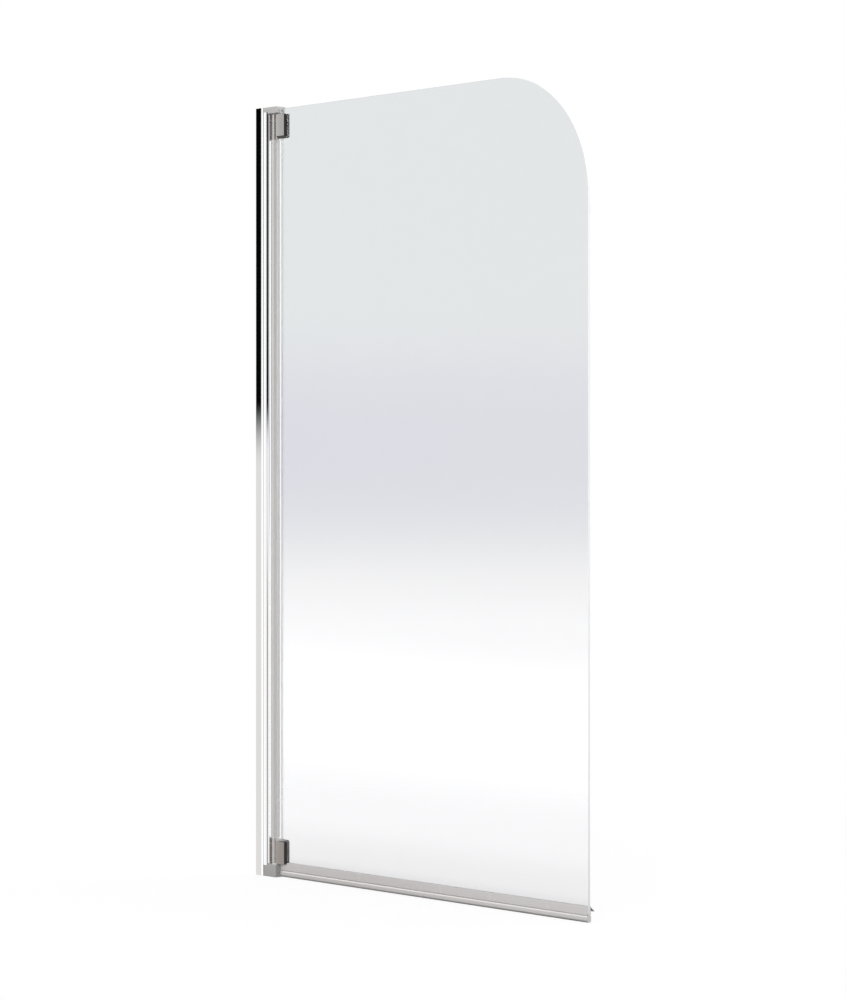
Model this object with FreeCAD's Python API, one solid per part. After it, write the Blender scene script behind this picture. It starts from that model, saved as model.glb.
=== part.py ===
"""Hinged glass bath screen: a wall channel, a post that slides in it, and a swinging pane.

The origin is on the wall face of the channel, at its foot, in the middle plane of the glass.
+X runs from the wall to the free edge of the glass, +Y towards the bath and +Z up.
All sizes are in millimetres.
"""
import FreeCAD, Part
import math
import os
from FreeCAD import Vector

# ---- overall ----
SCREEN_WIDTH = 850.0
SCREEN_HEIGHT = 1400.0
CORNER_RADIUS = 206.0

# ---- glass ----
GLASS_THICKNESS = 5.0
GLASS_TOP_DROP = 4.0
GLASS_FOOT = 15.0
GLASS_ARRIS = 0.4
GLASS_HOLE_RADIUS = 5.0

# ---- wall channel ----
CHANNEL_REACH = 22.0
CHANNEL_DEPTH = 24.0
CHANNEL_WALL = 1.2
CHANNEL_WEB = 1.5
CHANNEL_CROWN = 0.8
WALL_HOLE_RADIUS = 2.75
WALL_HOLE_MARGIN = 100.0
WALL_HOLE_COUNT = 4
PLUG_HEIGHT = 8.0
PLUG_LIP = 1.5
PLUG_FIT = 0.1

# ---- width adjustment: clamp screws on the bath side of the channel ----
ADJUST_TRAVEL = 10.0
ADJUST_SCREW_RADIUS = 1.75
ADJUST_SCREW_INSET = 4.8
ADJUST_SCREW_MARGIN = 200.0
ADJUST_SCREW_COUNT = 3
ADJUST_HEAD_RADIUS = 3.2
ADJUST_HEAD_HEIGHT = 1.8
ADJUST_NUT_SIDE = 7.0
ADJUST_NUT_THICKNESS = 2.8
ADJUST_TIP = 0.6
HOLE_FIT = 0.1
SLOT_FIT = 0.25
NUT_GAP = 0.1
COVER_WALL = 0.8
COVER_FIT = 0.2
COVER_EASE = 0.6

# ---- pivot profile ----
POST_GAP = 0.2
NOSE_LENGTH = 10.5
NOSE_WALL = 1.4
NOSE_SHOULDER = 3.0
LEG_WALL = 1.3
LEG_END_GAP = 0.4
SLIDE_GAP = 0.3
PORT_RADIUS = 3.6
PORT_MERGE = 0.2

# ---- end caps and their screws ----
CAP_NOSE_REACH = 15.5
TOP_CAP_PLATE = 8.5
TOP_CAP_NOSE = 12.0
BOTTOM_CAP_PLATE = 20.0
BOTTOM_CAP_NOSE = 22.5
CAP_EDGE = 0.6
CAP_NOSE_GAP = 0.3
SPIGOT_DEPTH = 8.0
SPIGOT_FIT = 0.2
CAP_SCREW_RADIUS = 2.05
CAP_SCREW_HEAD = 3.6
CAP_SCREW_BITE = 14.0
SCREW_FIT = 0.05
RECESS_RADIUS = 1.3
RECESS_DEPTH = 1.1

# ---- pivots ----
PIN_RADIUS = 3.0
PIN_FIT = 0.02
PIN_RUNNING = 0.05
PIN_IN_BARREL = 18.0
PIN_IN_TOP_CAP = 9.0
PIN_IN_BOTTOM_CAP = 14.0
PIN_CHAMFER = 0.6
WASHER_RADIUS = 6.0
WASHER_THICKNESS = 0.8
THRUST_GAP = 0.08
TOP_GAP = 0.8
BUSH_WALL = 1.5
BUSH_FIT = 0.02
BUSH_FLANGE_RADIUS = 5.8
BUSH_FLANGE = 0.8
BUSH_END_GAP = 1.0

# ---- hinges and clamp plates ----
SWING_GAP = 0.5
EDGE_SWING_GAP = 0.6
BARREL_RADIUS = 6.4
BARREL_HEIGHT = 45.5
PLATE_START = 12.0
PLATE_LENGTH = 26.7
PLATE_THICKNESS = 4.7
PLATE_INSET = 0.75
PLATE_BEVEL = 4.4
PLATE_CORNER = 5.0
PLATE_EDGE = 0.3
GLASS_EDGE_GAP = 0.7
NECK_GAP = 0.3
GASKET = 0.8
GASKET_INSET = 0.8
CLAMP_SCREW_RADIUS = 2.5
CLAMP_SCREW_HEAD = 4.7
CLAMP_SCREW_X = 17.0
CLAMP_SCREW_SPACING = 22.0
CLAMP_SCREW_BITE = 3.2
CLAMP_HOLE_SPARE = 0.4
SLEEVE_FIT = 0.1

# ---- seals ----
BULB_GAP = 0.4
BULB_WALL = 1.0
SEAL_WALL = 1.4
SEAL_FIT = 0.1
SEAL_GRIP = 4.0
SEAL_END_GAP = 0.5
DRIP_FOOT = 1.0
DRIP_LEG_TOP = 28.0
DRIP_WALL = 1.2
DRIP_BULB_WIDTH = 9.0
DRIP_FIN_REACH = 8.0
DRIP_FIN_FALL = 6.5
DRIP_FIN_DROP = 1.2
DRIP_FIN_THICKNESS = 1.0
DRIP_FIN_LIP = 2.0

# ---- values worked out from the sizes above ----
half_glass = GLASS_THICKNESS / 2
half_depth = CHANNEL_DEPTH / 2
hinge_half = half_glass + GASKET + PLATE_THICKNESS
leaf_inner = half_glass + GASKET
nose_start = CHANNEL_REACH + POST_GAP
nose_end = nose_start + NOSE_LENGTH
pivot_x = nose_end + SWING_GAP + hinge_half
cap_end = pivot_x + CAP_NOSE_REACH
cap_sweep = math.hypot(CAP_NOSE_REACH, half_depth)
glass_x = pivot_x + cap_sweep + EDGE_SWING_GAP
glass_top = SCREEN_HEIGHT - GLASS_TOP_DROP
plate_x = pivot_x + PLATE_START
plate_end = plate_x + PLATE_LENGTH
leg_outer = half_depth - CHANNEL_WALL - SLIDE_GAP
leg_inner = leg_outer - LEG_WALL
leg_start = CHANNEL_WEB + LEG_END_GAP
post_foot = BOTTOM_CAP_PLATE
post_top = SCREEN_HEIGHT - TOP_CAP_PLATE
port_x = nose_start + NOSE_LENGTH / 2
port_y = half_depth - NOSE_WALL - PORT_RADIUS + PORT_MERGE
adjust_x = CHANNEL_REACH - ADJUST_SCREW_INSET
washer_top = BOTTOM_CAP_NOSE + WASHER_THICKNESS
low_barrel_foot = washer_top + THRUST_GAP + BUSH_FLANGE
low_barrel_top = low_barrel_foot + BARREL_HEIGHT
cap_nose_foot = SCREEN_HEIGHT - TOP_CAP_NOSE
high_barrel_top = cap_nose_foot - TOP_GAP - BUSH_FLANGE
high_barrel_foot = high_barrel_top - BARREL_HEIGHT
plate_height = BARREL_HEIGHT - 2 * PLATE_INSET
low_plate_foot = low_barrel_foot + PLATE_INSET
high_plate_foot = high_barrel_foot + PLATE_INSET
bush_radius = PIN_RADIUS + PIN_RUNNING + BUSH_WALL
bush_length = PIN_IN_BARREL + BUSH_END_GAP
clamp_screw_x = plate_x + CLAMP_SCREW_X


# ---- helpers ----
def box(x0, x1, y0, y1, z0, z1):
    """Block between two corners."""
    return Part.makeBox(x1 - x0, y1 - y0, z1 - z0, Vector(x0, y0, z0))


def upright(x, y, z0, z1, radius):
    """Round bar along Z between two heights."""
    return Part.makeCylinder(radius, z1 - z0, Vector(x, y, z0), Vector(0, 0, 1))


def peg(x, z, y0, y1, radius):
    """Round bar along Y between two depths."""
    return Part.makeCylinder(radius, y1 - y0, Vector(x, y0, z), Vector(0, 1, 0))


def polygon(points):
    """Flat face with straight sides."""
    return Part.Face(Part.makePolygon(points + points[:1]))


def line(a, b):
    """Straight edge."""
    return Part.LineSegment(a, b).toShape()


def arc(a, b, c):
    """Round edge from a to c through b."""
    return Part.Arc(a, b, c).toShape()


def countersink(head, shank):
    """Depth of a 90 degree countersunk head."""
    return head - shank


def flat_screw(head, shank, length):
    """Countersunk screw on the Z axis, head face at z 0 and tip at -length."""
    depth = countersink(head, shank)
    cone = Part.makeCone(shank, head, depth, Vector(0, 0, -depth), Vector(0, 0, 1))
    shaft = Part.makeCylinder(shank, length - depth, Vector(0, 0, -length), Vector(0, 0, 1))
    recess = Part.makeCylinder(RECESS_RADIUS, RECESS_DEPTH, Vector(0, 0, -RECESS_DEPTH))
    return cone.fuse(shaft).removeSplitter().cut(recess)


def flat_screw_hole(head, shank, length, fit):
    """Room for a countersunk screw, on the Z axis, open above z 0."""
    depth = countersink(head, shank)
    cone = Part.makeCone(shank + fit, head + fit, depth, Vector(0, 0, -depth), Vector(0, 0, 1))
    shaft = Part.makeCylinder(shank + fit, length, Vector(0, 0, -length), Vector(0, 0, 1))
    return cone.fuse(shaft)


def upright_edges(shape, past_x):
    """Edges along Z that lie past a given x."""
    return [e for e in shape.Edges
            if e.BoundBox.ZLength > 2 * max(e.BoundBox.XLength, e.BoundBox.YLength)
            and e.BoundBox.XMin > past_x]


def turned(shape, axis, angle, place):
    """Copy of a shape, turned about the origin and then moved."""
    copy = shape.copy()
    copy.rotate(Vector(0, 0, 0), axis, angle)
    copy.translate(place)
    return copy


def group(shapes):
    """Several separate solids kept as one piece."""
    return Part.makeCompound(shapes)


def spread(margin, count, height):
    """Heights of evenly spaced fixings, the first and last a margin from the ends."""
    step = (height - 2 * margin) / (count - 1)
    return [margin + step * i for i in range(count)]


# ---- wall side ----
def make_wall_channel():
    """Aluminium U channel with a row of wall screw holes.

    Its room face is square to Y at the post and curves back towards the wall.
    """
    crown = Vector(CHANNEL_REACH / 2, -half_depth - CHANNEL_CROWN * 3 / 4, 0)
    inner = half_depth - CHANNEL_WALL
    corners = [
        Vector(CHANNEL_REACH, -half_depth - CHANNEL_CROWN, 0),
        Vector(CHANNEL_REACH, -inner, 0),
        Vector(CHANNEL_WEB, -inner, 0),
        Vector(CHANNEL_WEB, inner, 0),
        Vector(CHANNEL_REACH, inner, 0),
        Vector(CHANNEL_REACH, half_depth, 0),
        Vector(0, half_depth, 0),
        Vector(0, -half_depth, 0),
    ]
    edges = [line(a, b) for a, b in zip(corners, corners[1:])]
    edges.append(arc(corners[-1], crown, corners[0]))
    channel = Part.Face(Part.Wire(edges)).extrude(Vector(0, 0, SCREEN_HEIGHT))
    for z in spread(WALL_HOLE_MARGIN, WALL_HOLE_COUNT, SCREEN_HEIGHT):
        drill = Part.makeCylinder(WALL_HOLE_RADIUS, CHANNEL_WEB, Vector(0, 0, z), Vector(1, 0, 0))
        channel = channel.cut(drill)
    for z in spread(ADJUST_SCREW_MARGIN, ADJUST_SCREW_COUNT, SCREEN_HEIGHT):
        radius = ADJUST_SCREW_RADIUS + HOLE_FIT
        channel = channel.cut(peg(adjust_x, z, inner, half_depth, radius))
    return channel


def make_channel_plug():
    """Plug that closes the top of the channel, above the post's legs."""
    inner = half_depth - CHANNEL_WALL - PLUG_FIT
    foot = SCREEN_HEIGHT - PLUG_HEIGHT
    block = box(CHANNEL_WEB + PLUG_FIT, CHANNEL_REACH, -inner, inner, foot, SCREEN_HEIGHT)
    hollow = box(CHANNEL_WEB + PLUG_FIT + PLUG_LIP, CHANNEL_REACH - PLUG_LIP,
                 -inner + PLUG_LIP, inner - PLUG_LIP, foot, SCREEN_HEIGHT - PLUG_LIP)
    return block.cut(hollow)


def make_adjust_screws():
    """Pan head clamp screws, pushed in from the bath side."""
    tip = leg_inner - NUT_GAP - ADJUST_NUT_THICKNESS - ADJUST_TIP
    screws = []
    for z in spread(ADJUST_SCREW_MARGIN, ADJUST_SCREW_COUNT, SCREEN_HEIGHT):
        shank = peg(adjust_x, z, tip, half_depth, ADJUST_SCREW_RADIUS)
        head = peg(adjust_x, z, half_depth, half_depth + ADJUST_HEAD_HEIGHT, ADJUST_HEAD_RADIUS)
        top = half_depth + ADJUST_HEAD_HEIGHT
        recess = peg(adjust_x, z, top - RECESS_DEPTH, top, RECESS_RADIUS)
        screws.append(shank.fuse(head).cut(recess))
    return group(screws)


def make_adjust_nuts():
    """Square nuts that pull the bath side leg of the post against the channel."""
    outer = leg_inner - NUT_GAP
    half = ADJUST_NUT_SIDE / 2
    nuts = []
    for z in spread(ADJUST_SCREW_MARGIN, ADJUST_SCREW_COUNT, SCREEN_HEIGHT):
        block = box(adjust_x - half, adjust_x + half, outer - ADJUST_NUT_THICKNESS, outer,
                    z - half, z + half)
        bore = peg(adjust_x, z, outer - ADJUST_NUT_THICKNESS, outer,
                   ADJUST_SCREW_RADIUS + SCREW_FIT)
        nuts.append(block.cut(bore))
    return group(nuts)


def make_screw_covers():
    """Round push-on covers over the clamp screws' heads."""
    radius = ADJUST_HEAD_RADIUS + COVER_FIT + COVER_WALL
    room = half_depth + ADJUST_HEAD_HEIGHT + COVER_FIT
    covers = []
    for z in spread(ADJUST_SCREW_MARGIN, ADJUST_SCREW_COUNT, SCREEN_HEIGHT):
        shell = peg(adjust_x, z, half_depth, room + COVER_WALL, radius)
        rim = [e for e in shell.Edges if e.BoundBox.YMin > room and e.BoundBox.XLength > radius]
        shell = shell.makeFillet(COVER_EASE, rim)
        hollow = peg(adjust_x, z, half_depth, room, ADJUST_HEAD_RADIUS + COVER_FIT)
        covers.append(shell.cut(hollow))
    return group(covers)


# ---- post ----
def make_pivot_profile():
    """Aluminium extrusion: a hollow nose with two screw ports, and two sliding legs."""
    s = NOSE_SHOULDER
    mid = s * math.sqrt(0.5)
    edges = [
        line(Vector(nose_start, half_depth, 0), Vector(nose_start, -half_depth, 0)),
        line(Vector(nose_start, -half_depth, 0), Vector(nose_end - s, -half_depth, 0)),
        arc(Vector(nose_end - s, -half_depth, 0),
            Vector(nose_end - s + mid, -half_depth + s - mid, 0),
            Vector(nose_end, -half_depth + s, 0)),
        line(Vector(nose_end, -half_depth + s, 0), Vector(nose_end, half_depth - s, 0)),
        arc(Vector(nose_end, half_depth - s, 0),
            Vector(nose_end - s + mid, half_depth - s + mid, 0),
            Vector(nose_end - s, half_depth, 0)),
        line(Vector(nose_end - s, half_depth, 0), Vector(nose_start, half_depth, 0)),
    ]
    rise = Vector(0, 0, post_top - post_foot)
    nose = Part.Face(Part.Wire(edges)).extrude(rise)
    nose.translate(Vector(0, 0, post_foot))
    inner_y = half_depth - NOSE_WALL
    cavity = box(nose_start + NOSE_WALL, nose_end - NOSE_WALL, -inner_y, inner_y,
                 post_foot, post_top)
    corner = NOSE_SHOULDER - NOSE_WALL
    nose = nose.cut(cavity.makeFillet(corner, upright_edges(cavity, port_x)))
    for side in (-1, 1):
        nose = nose.fuse(upright(port_x, side * port_y, post_foot, post_top, PORT_RADIUS))
        leg = box(leg_start, nose_start + NOSE_WALL, leg_inner, leg_outer, post_foot, post_top)
        if side < 0:
            leg = leg.mirror(Vector(0, 0, 0), Vector(0, 1, 0))
        nose = nose.fuse(leg)
    profile = nose.removeSplitter()
    for side in (-1, 1):
        radius = CAP_SCREW_RADIUS + SCREW_FIT
        profile = profile.cut(upright(port_x, side * port_y, post_foot, post_top, radius))
    slot_half = ADJUST_SCREW_RADIUS + SLOT_FIT
    for z in spread(ADJUST_SCREW_MARGIN, ADJUST_SCREW_COUNT, SCREEN_HEIGHT):
        slot = box(adjust_x - ADJUST_TRAVEL, adjust_x, leg_inner, leg_outer,
                   z - slot_half, z + slot_half)
        slot = slot.fuse(peg(adjust_x, z, leg_inner, leg_outer, slot_half))
        slot = slot.fuse(peg(adjust_x - ADJUST_TRAVEL, z, leg_inner, leg_outer, slot_half))
        profile = profile.cut(slot)
    return profile


def make_spigot(z0, z1):
    """Tongue of an end cap that locates it between the profile's screw ports."""
    half = port_y - PORT_RADIUS - SPIGOT_FIT
    return box(nose_start + NOSE_WALL + SPIGOT_FIT, nose_end - NOSE_WALL - SPIGOT_FIT,
               -half, half, z0, z1)


def eased(block):
    """Cap block with its outer upright edges on the glass side eased."""
    return block.makeFillet(CAP_EDGE, upright_edges(block, pivot_x))


def make_top_cap():
    """Top end cap: a plate over the profile and a deeper nose that holds the pivot pin."""
    block = box(nose_start, cap_end, -half_depth, half_depth, cap_nose_foot, SCREEN_HEIGHT)
    step = box(nose_start, nose_end + CAP_NOSE_GAP, -half_depth, half_depth,
               cap_nose_foot, post_top)
    cap = eased(block).cut(step).fuse(make_spigot(post_top - SPIGOT_DEPTH, post_top))
    cap = cap.cut(upright(pivot_x, 0, cap_nose_foot, cap_nose_foot + PIN_IN_TOP_CAP,
                       PIN_RADIUS + PIN_FIT))
    for side in (-1, 1):
        hole = flat_screw_hole(CAP_SCREW_HEAD, CAP_SCREW_RADIUS, TOP_CAP_PLATE, SCREW_FIT)
        cap = cap.cut(turned(hole, Vector(1, 0, 0), 0,
                             Vector(port_x, side * port_y, SCREEN_HEIGHT)))
    return cap.removeSplitter()


def make_bottom_cap():
    """Bottom end cap: the block that stands on the bath rim and carries the lower pin."""
    block = box(nose_start, cap_end, -half_depth, half_depth, 0, BOTTOM_CAP_NOSE)
    step = box(nose_start, nose_end + CAP_NOSE_GAP, -half_depth, half_depth,
               post_foot, BOTTOM_CAP_NOSE)
    cap = eased(block).cut(step).fuse(make_spigot(post_foot, post_foot + SPIGOT_DEPTH))
    cap = cap.cut(upright(pivot_x, 0, BOTTOM_CAP_NOSE - PIN_IN_BOTTOM_CAP, BOTTOM_CAP_NOSE,
                       PIN_RADIUS + PIN_FIT))
    for side in (-1, 1):
        hole = flat_screw_hole(CAP_SCREW_HEAD, CAP_SCREW_RADIUS, BOTTOM_CAP_PLATE, SCREW_FIT)
        cap = cap.cut(turned(hole, Vector(1, 0, 0), 180, Vector(port_x, side * port_y, 0)))
    return cap.removeSplitter()


def make_cap_screws(cap_thickness, angle, face):
    """Pair of countersunk screws that bite in the profile's ports."""
    screw = flat_screw(CAP_SCREW_HEAD, CAP_SCREW_RADIUS, cap_thickness + CAP_SCREW_BITE)
    return group([turned(screw, Vector(1, 0, 0), angle, Vector(port_x, side * port_y, face))
                  for side in (-1, 1)])


def make_pin(z0, z1):
    """Pivot pin with chamfered ends."""
    pin = upright(pivot_x, 0, z0, z1, PIN_RADIUS)
    rims = [e for e in pin.Edges if e.BoundBox.ZLength < PIN_CHAMFER]
    return pin.makeChamfer(PIN_CHAMFER, rims)


def make_thrust_washer():
    """Washer on the bottom cap that carries the weight of the pane."""
    disc = upright(pivot_x, 0, BOTTOM_CAP_NOSE, washer_top, WASHER_RADIUS)
    return disc.cut(upright(pivot_x, 0, BOTTOM_CAP_NOSE, washer_top, PIN_RADIUS + HOLE_FIT))


# ---- hinges ----
def make_bush(mouth, way):
    """Flanged bush in a barrel: mouth is the barrel's end face, way points into the barrel."""
    up = Vector(0, 0, way)
    tube = Part.makeCylinder(bush_radius, bush_length, Vector(pivot_x, 0, mouth), up)
    flange = Part.makeCylinder(BUSH_FLANGE_RADIUS, BUSH_FLANGE, Vector(pivot_x, 0, mouth),
                               Vector(0, 0, -way))
    start = Vector(pivot_x, 0, mouth - way * BUSH_FLANGE)
    bore = Part.makeCylinder(PIN_RADIUS + PIN_RUNNING, bush_length + BUSH_FLANGE, start, up)
    return tube.fuse(flange).removeSplitter().cut(bore)


def plate_outline(z0):
    """Upright clamp plate outline, round at its two corners on the glass side."""
    r = PLATE_CORNER
    mid = r * (1 - math.sqrt(0.5))
    z1 = z0 + plate_height
    edges = [
        line(Vector(plate_x, 0, z0), Vector(plate_end - r, 0, z0)),
        arc(Vector(plate_end - r, 0, z0), Vector(plate_end - mid, 0, z0 + mid),
            Vector(plate_end, 0, z0 + r)),
        line(Vector(plate_end, 0, z0 + r), Vector(plate_end, 0, z1 - r)),
        arc(Vector(plate_end, 0, z1 - r), Vector(plate_end - mid, 0, z1 - mid),
            Vector(plate_end - r, 0, z1)),
        line(Vector(plate_end - r, 0, z1), Vector(plate_x, 0, z1)),
        line(Vector(plate_x, 0, z1), Vector(plate_x, 0, z0)),
    ]
    return Part.Face(Part.Wire(edges))


def bevelled_plate(z0, way):
    """Plate on the +Y side of the glass, bevelled on its free edge and its inner edge.

    way is +1 where the middle of the screen lies above the plate, and -1 where it lies below.
    """
    z1 = z0 + plate_height
    plate = plate_outline(z0).extrude(Vector(0, PLATE_THICKNESS, 0))
    plate.translate(Vector(0, leaf_inner, 0))
    side = polygon([
        Vector(plate_x, leaf_inner, z0),
        Vector(plate_end, leaf_inner, z0),
        Vector(plate_end, hinge_half - PLATE_BEVEL, z0),
        Vector(plate_end - PLATE_BEVEL, hinge_half, z0),
        Vector(plate_x, hinge_half, z0),
    ])
    plate = plate.common(side.extrude(Vector(0, 0, plate_height)))
    inner = z1 if way > 0 else z0
    outer = z0 if way > 0 else z1
    ends = polygon([
        Vector(plate_x, leaf_inner, outer),
        Vector(plate_x, leaf_inner, inner),
        Vector(plate_x, hinge_half - PLATE_BEVEL, inner),
        Vector(plate_x, hinge_half, inner - way * PLATE_BEVEL),
        Vector(plate_x, hinge_half, outer),
    ])
    return plate.common(ends.extrude(Vector(PLATE_LENGTH, 0, 0)))


def screw_heights(plate_foot):
    """Heights of a hinge's two clamp screws."""
    middle = plate_foot + plate_height / 2
    return [middle - CLAMP_SCREW_SPACING / 2, middle + CLAMP_SCREW_SPACING / 2]


def make_front_plate(plate_foot, way):
    """Clamp plate on the room side, with blind threaded holes."""
    plate = bevelled_plate(plate_foot, way).mirror(Vector(0, 0, 0), Vector(0, 1, 0))
    depth = CLAMP_SCREW_BITE + CLAMP_HOLE_SPARE
    for z in screw_heights(plate_foot):
        plate = plate.cut(peg(clamp_screw_x, z, -leaf_inner - depth, -leaf_inner,
                              CLAMP_SCREW_RADIUS + SCREW_FIT))
    outer = [e for e in upright_edges(plate, plate_x - PLATE_EDGE)
             if e.BoundBox.XMax < plate_x + PLATE_EDGE and e.BoundBox.YMax < PLATE_EDGE - hinge_half]
    return plate.makeFillet(PLATE_EDGE, outer)


def make_hinge(barrel_foot, way):
    """Barrel, neck and back leaf in one casting.

    way is +1 for the bottom hinge, whose bush goes in from below, and -1 for the top hinge.
    """
    barrel_top = barrel_foot + BARREL_HEIGHT
    plate_foot = barrel_foot + PLATE_INSET
    plate_top = plate_foot + plate_height
    mouth = barrel_foot if way > 0 else barrel_top
    barrel = upright(pivot_x, 0, barrel_foot, barrel_top, BARREL_RADIUS)
    neck = box(pivot_x + NECK_GAP, glass_x - GLASS_EDGE_GAP, -leaf_inner, hinge_half,
               plate_foot, plate_top)
    hinge = barrel.fuse(neck).fuse(bevelled_plate(plate_foot, way)).removeSplitter()
    depth = bush_length + BUSH_FIT
    bore = Part.makeCylinder(bush_radius + BUSH_FIT, depth, Vector(pivot_x, 0, mouth),
                             Vector(0, 0, way))
    hinge = hinge.cut(bore)
    room = flat_screw_hole(CLAMP_SCREW_HEAD, CLAMP_SCREW_RADIUS, PLATE_THICKNESS, HOLE_FIT)
    for z in screw_heights(plate_foot):
        place = Vector(clamp_screw_x, hinge_half, z)
        hinge = hinge.cut(turned(room, Vector(1, 0, 0), -90, place))
    return hinge


def make_gasket(plate_foot, side):
    """Flat gasket between a clamp plate and the glass."""
    inset = GASKET_INSET
    y0 = half_glass if side > 0 else -leaf_inner
    sheet = box(glass_x + inset, plate_end - inset, y0, y0 + GASKET,
                plate_foot + inset, plate_foot + plate_height - inset)
    corners = [e for e in sheet.Edges
               if e.BoundBox.YLength > GASKET / 2 and e.BoundBox.XMin > clamp_screw_x]
    sheet = sheet.makeFillet(PLATE_CORNER - inset, corners)
    for z in screw_heights(plate_foot):
        sheet = sheet.cut(peg(clamp_screw_x, z, y0, y0 + GASKET, GLASS_HOLE_RADIUS))
    return sheet


def make_clamp_screws(plate_foot):
    """Two countersunk screws from the bath side through the glass."""
    length = hinge_half + leaf_inner + CLAMP_SCREW_BITE
    screw = flat_screw(CLAMP_SCREW_HEAD, CLAMP_SCREW_RADIUS, length)
    return group([turned(screw, Vector(1, 0, 0), -90, Vector(clamp_screw_x, hinge_half, z))
                  for z in screw_heights(plate_foot)])


def make_glass_sleeves(plate_feet):
    """Sleeves that keep the clamp screws off the glass."""
    sleeves = []
    for foot in plate_feet:
        for z in screw_heights(foot):
            ring = peg(clamp_screw_x, z, -half_glass, half_glass,
                       GLASS_HOLE_RADIUS - SLEEVE_FIT)
            bore = peg(clamp_screw_x, z, -half_glass, half_glass,
                       CLAMP_SCREW_RADIUS + SLEEVE_FIT)
            sleeves.append(ring.cut(bore))
    return group(sleeves)


# ---- pane and seals ----
def make_glass(plate_feet):
    """Toughened pane with one quarter-round top corner, eased edges and four clamp holes."""
    r = CORNER_RADIUS
    mid = r * (1 - math.sqrt(0.5))
    y = -half_glass
    edges = [
        line(Vector(glass_x, y, GLASS_FOOT), Vector(SCREEN_WIDTH, y, GLASS_FOOT)),
        line(Vector(SCREEN_WIDTH, y, GLASS_FOOT), Vector(SCREEN_WIDTH, y, glass_top - r)),
        arc(Vector(SCREEN_WIDTH, y, glass_top - r),
            Vector(SCREEN_WIDTH - mid, y, glass_top - mid),
            Vector(SCREEN_WIDTH - r, y, glass_top)),
        line(Vector(SCREEN_WIDTH - r, y, glass_top), Vector(glass_x, y, glass_top)),
        line(Vector(glass_x, y, glass_top), Vector(glass_x, y, GLASS_FOOT)),
    ]
    pane = Part.Face(Part.Wire(edges)).extrude(Vector(0, GLASS_THICKNESS, 0))
    rims = [e for e in pane.Edges if e.BoundBox.YLength < GLASS_THICKNESS / 2]
    pane = pane.makeChamfer(GLASS_ARRIS, rims)
    for foot in plate_feet:
        for z in screw_heights(foot):
            pane = pane.cut(peg(clamp_screw_x, z, -half_glass, half_glass, GLASS_HOLE_RADIUS))
    return pane


def make_vertical_seal():
    """Clear PVC seal: a hollow bulb round the pivot line, and legs that grip the glass edge."""
    z0 = low_barrel_top + SEAL_END_GAP
    z1 = high_barrel_foot - SEAL_END_GAP
    bulb_radius = pivot_x - nose_end - BULB_GAP
    slot_half = half_glass + SEAL_FIT
    body_half = slot_half + SEAL_WALL
    web_end = glass_x - SEAL_FIT
    seal = upright(pivot_x, 0, z0, z1, bulb_radius)
    seal = seal.fuse(box(pivot_x, glass_x + SEAL_GRIP, -body_half, body_half, z0, z1))
    seal = seal.removeSplitter()
    seal = seal.cut(upright(pivot_x, 0, z0, z1, bulb_radius - BULB_WALL))
    hollow_half = body_half - SEAL_WALL
    seal = seal.cut(box(pivot_x + bulb_radius, web_end - SEAL_WALL, -hollow_half, hollow_half,
                        z0, z1))
    return seal.cut(box(web_end, glass_x + SEAL_GRIP, -slot_half, slot_half, z0, z1))


def drip_section(x, leg_top):
    """Cross-section of the bottom seal at x: two legs, a web and a hollow bulb."""
    slot_half = half_glass + SEAL_FIT
    body_half = slot_half + DRIP_WALL
    web_top = GLASS_FOOT - SEAL_FIT
    web_foot = web_top - DRIP_WALL
    r = DRIP_BULB_WIDTH / 2
    legs = polygon([Vector(x, -body_half, leg_top), Vector(x, -body_half, web_foot),
                    Vector(x, body_half, web_foot), Vector(x, body_half, leg_top),
                    Vector(x, slot_half, leg_top), Vector(x, slot_half, web_top),
                    Vector(x, -slot_half, web_top), Vector(x, -slot_half, leg_top)])
    bulb = bulb_face(x, r, web_top, 0)
    hollow = bulb_face(x, r - DRIP_WALL, web_foot, DRIP_WALL)
    return legs.fuse(bulb).cut(hollow).removeSplitter()


def bulb_face(x, r, top, lift):
    """Round-footed face of the drip bulb, raised by lift for its hollow."""
    foot = DRIP_FOOT + lift
    edges = [
        line(Vector(x, -r, top), Vector(x, -r, foot + r)),
        arc(Vector(x, -r, foot + r), Vector(x, 0, foot), Vector(x, r, foot + r)),
        line(Vector(x, r, foot + r), Vector(x, r, top)),
        line(Vector(x, r, top), Vector(x, -r, top)),
    ]
    return Part.Face(Part.Wire(edges))


def make_bottom_seal():
    """Clear PVC drip seal on the foot of the glass, cut back below the bottom hinge."""
    cut_x = plate_end + SEAL_END_GAP
    low_top = low_plate_foot - SEAL_END_GAP
    slot_half = half_glass + SEAL_FIT
    root = slot_half + DRIP_WALL
    high = DRIP_LEG_TOP - DRIP_FIN_DROP
    t = DRIP_FIN_THICKNESS
    tip = root + DRIP_FIN_REACH
    low = high - DRIP_FIN_FALL
    slope = math.atan2(DRIP_FIN_FALL, tip - root)
    below = t / math.cos(slope)
    fin = polygon([
        Vector(cut_x, root - SEAL_FIT, high),
        Vector(cut_x, tip, low),
        Vector(cut_x, tip, low - DRIP_FIN_LIP),
        Vector(cut_x, tip - t, low - DRIP_FIN_LIP),
        Vector(cut_x, tip - t, low - below + t * math.tan(slope)),
        Vector(cut_x, root - SEAL_FIT, high - below),
    ])
    long_section = drip_section(cut_x, DRIP_LEG_TOP).fuse(fin).removeSplitter()
    long_run = long_section.extrude(Vector(SCREEN_WIDTH - cut_x, 0, 0))
    short_run = drip_section(glass_x, low_top).extrude(Vector(cut_x - glass_x, 0, 0))
    return long_run.fuse(short_run).removeSplitter()


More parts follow.
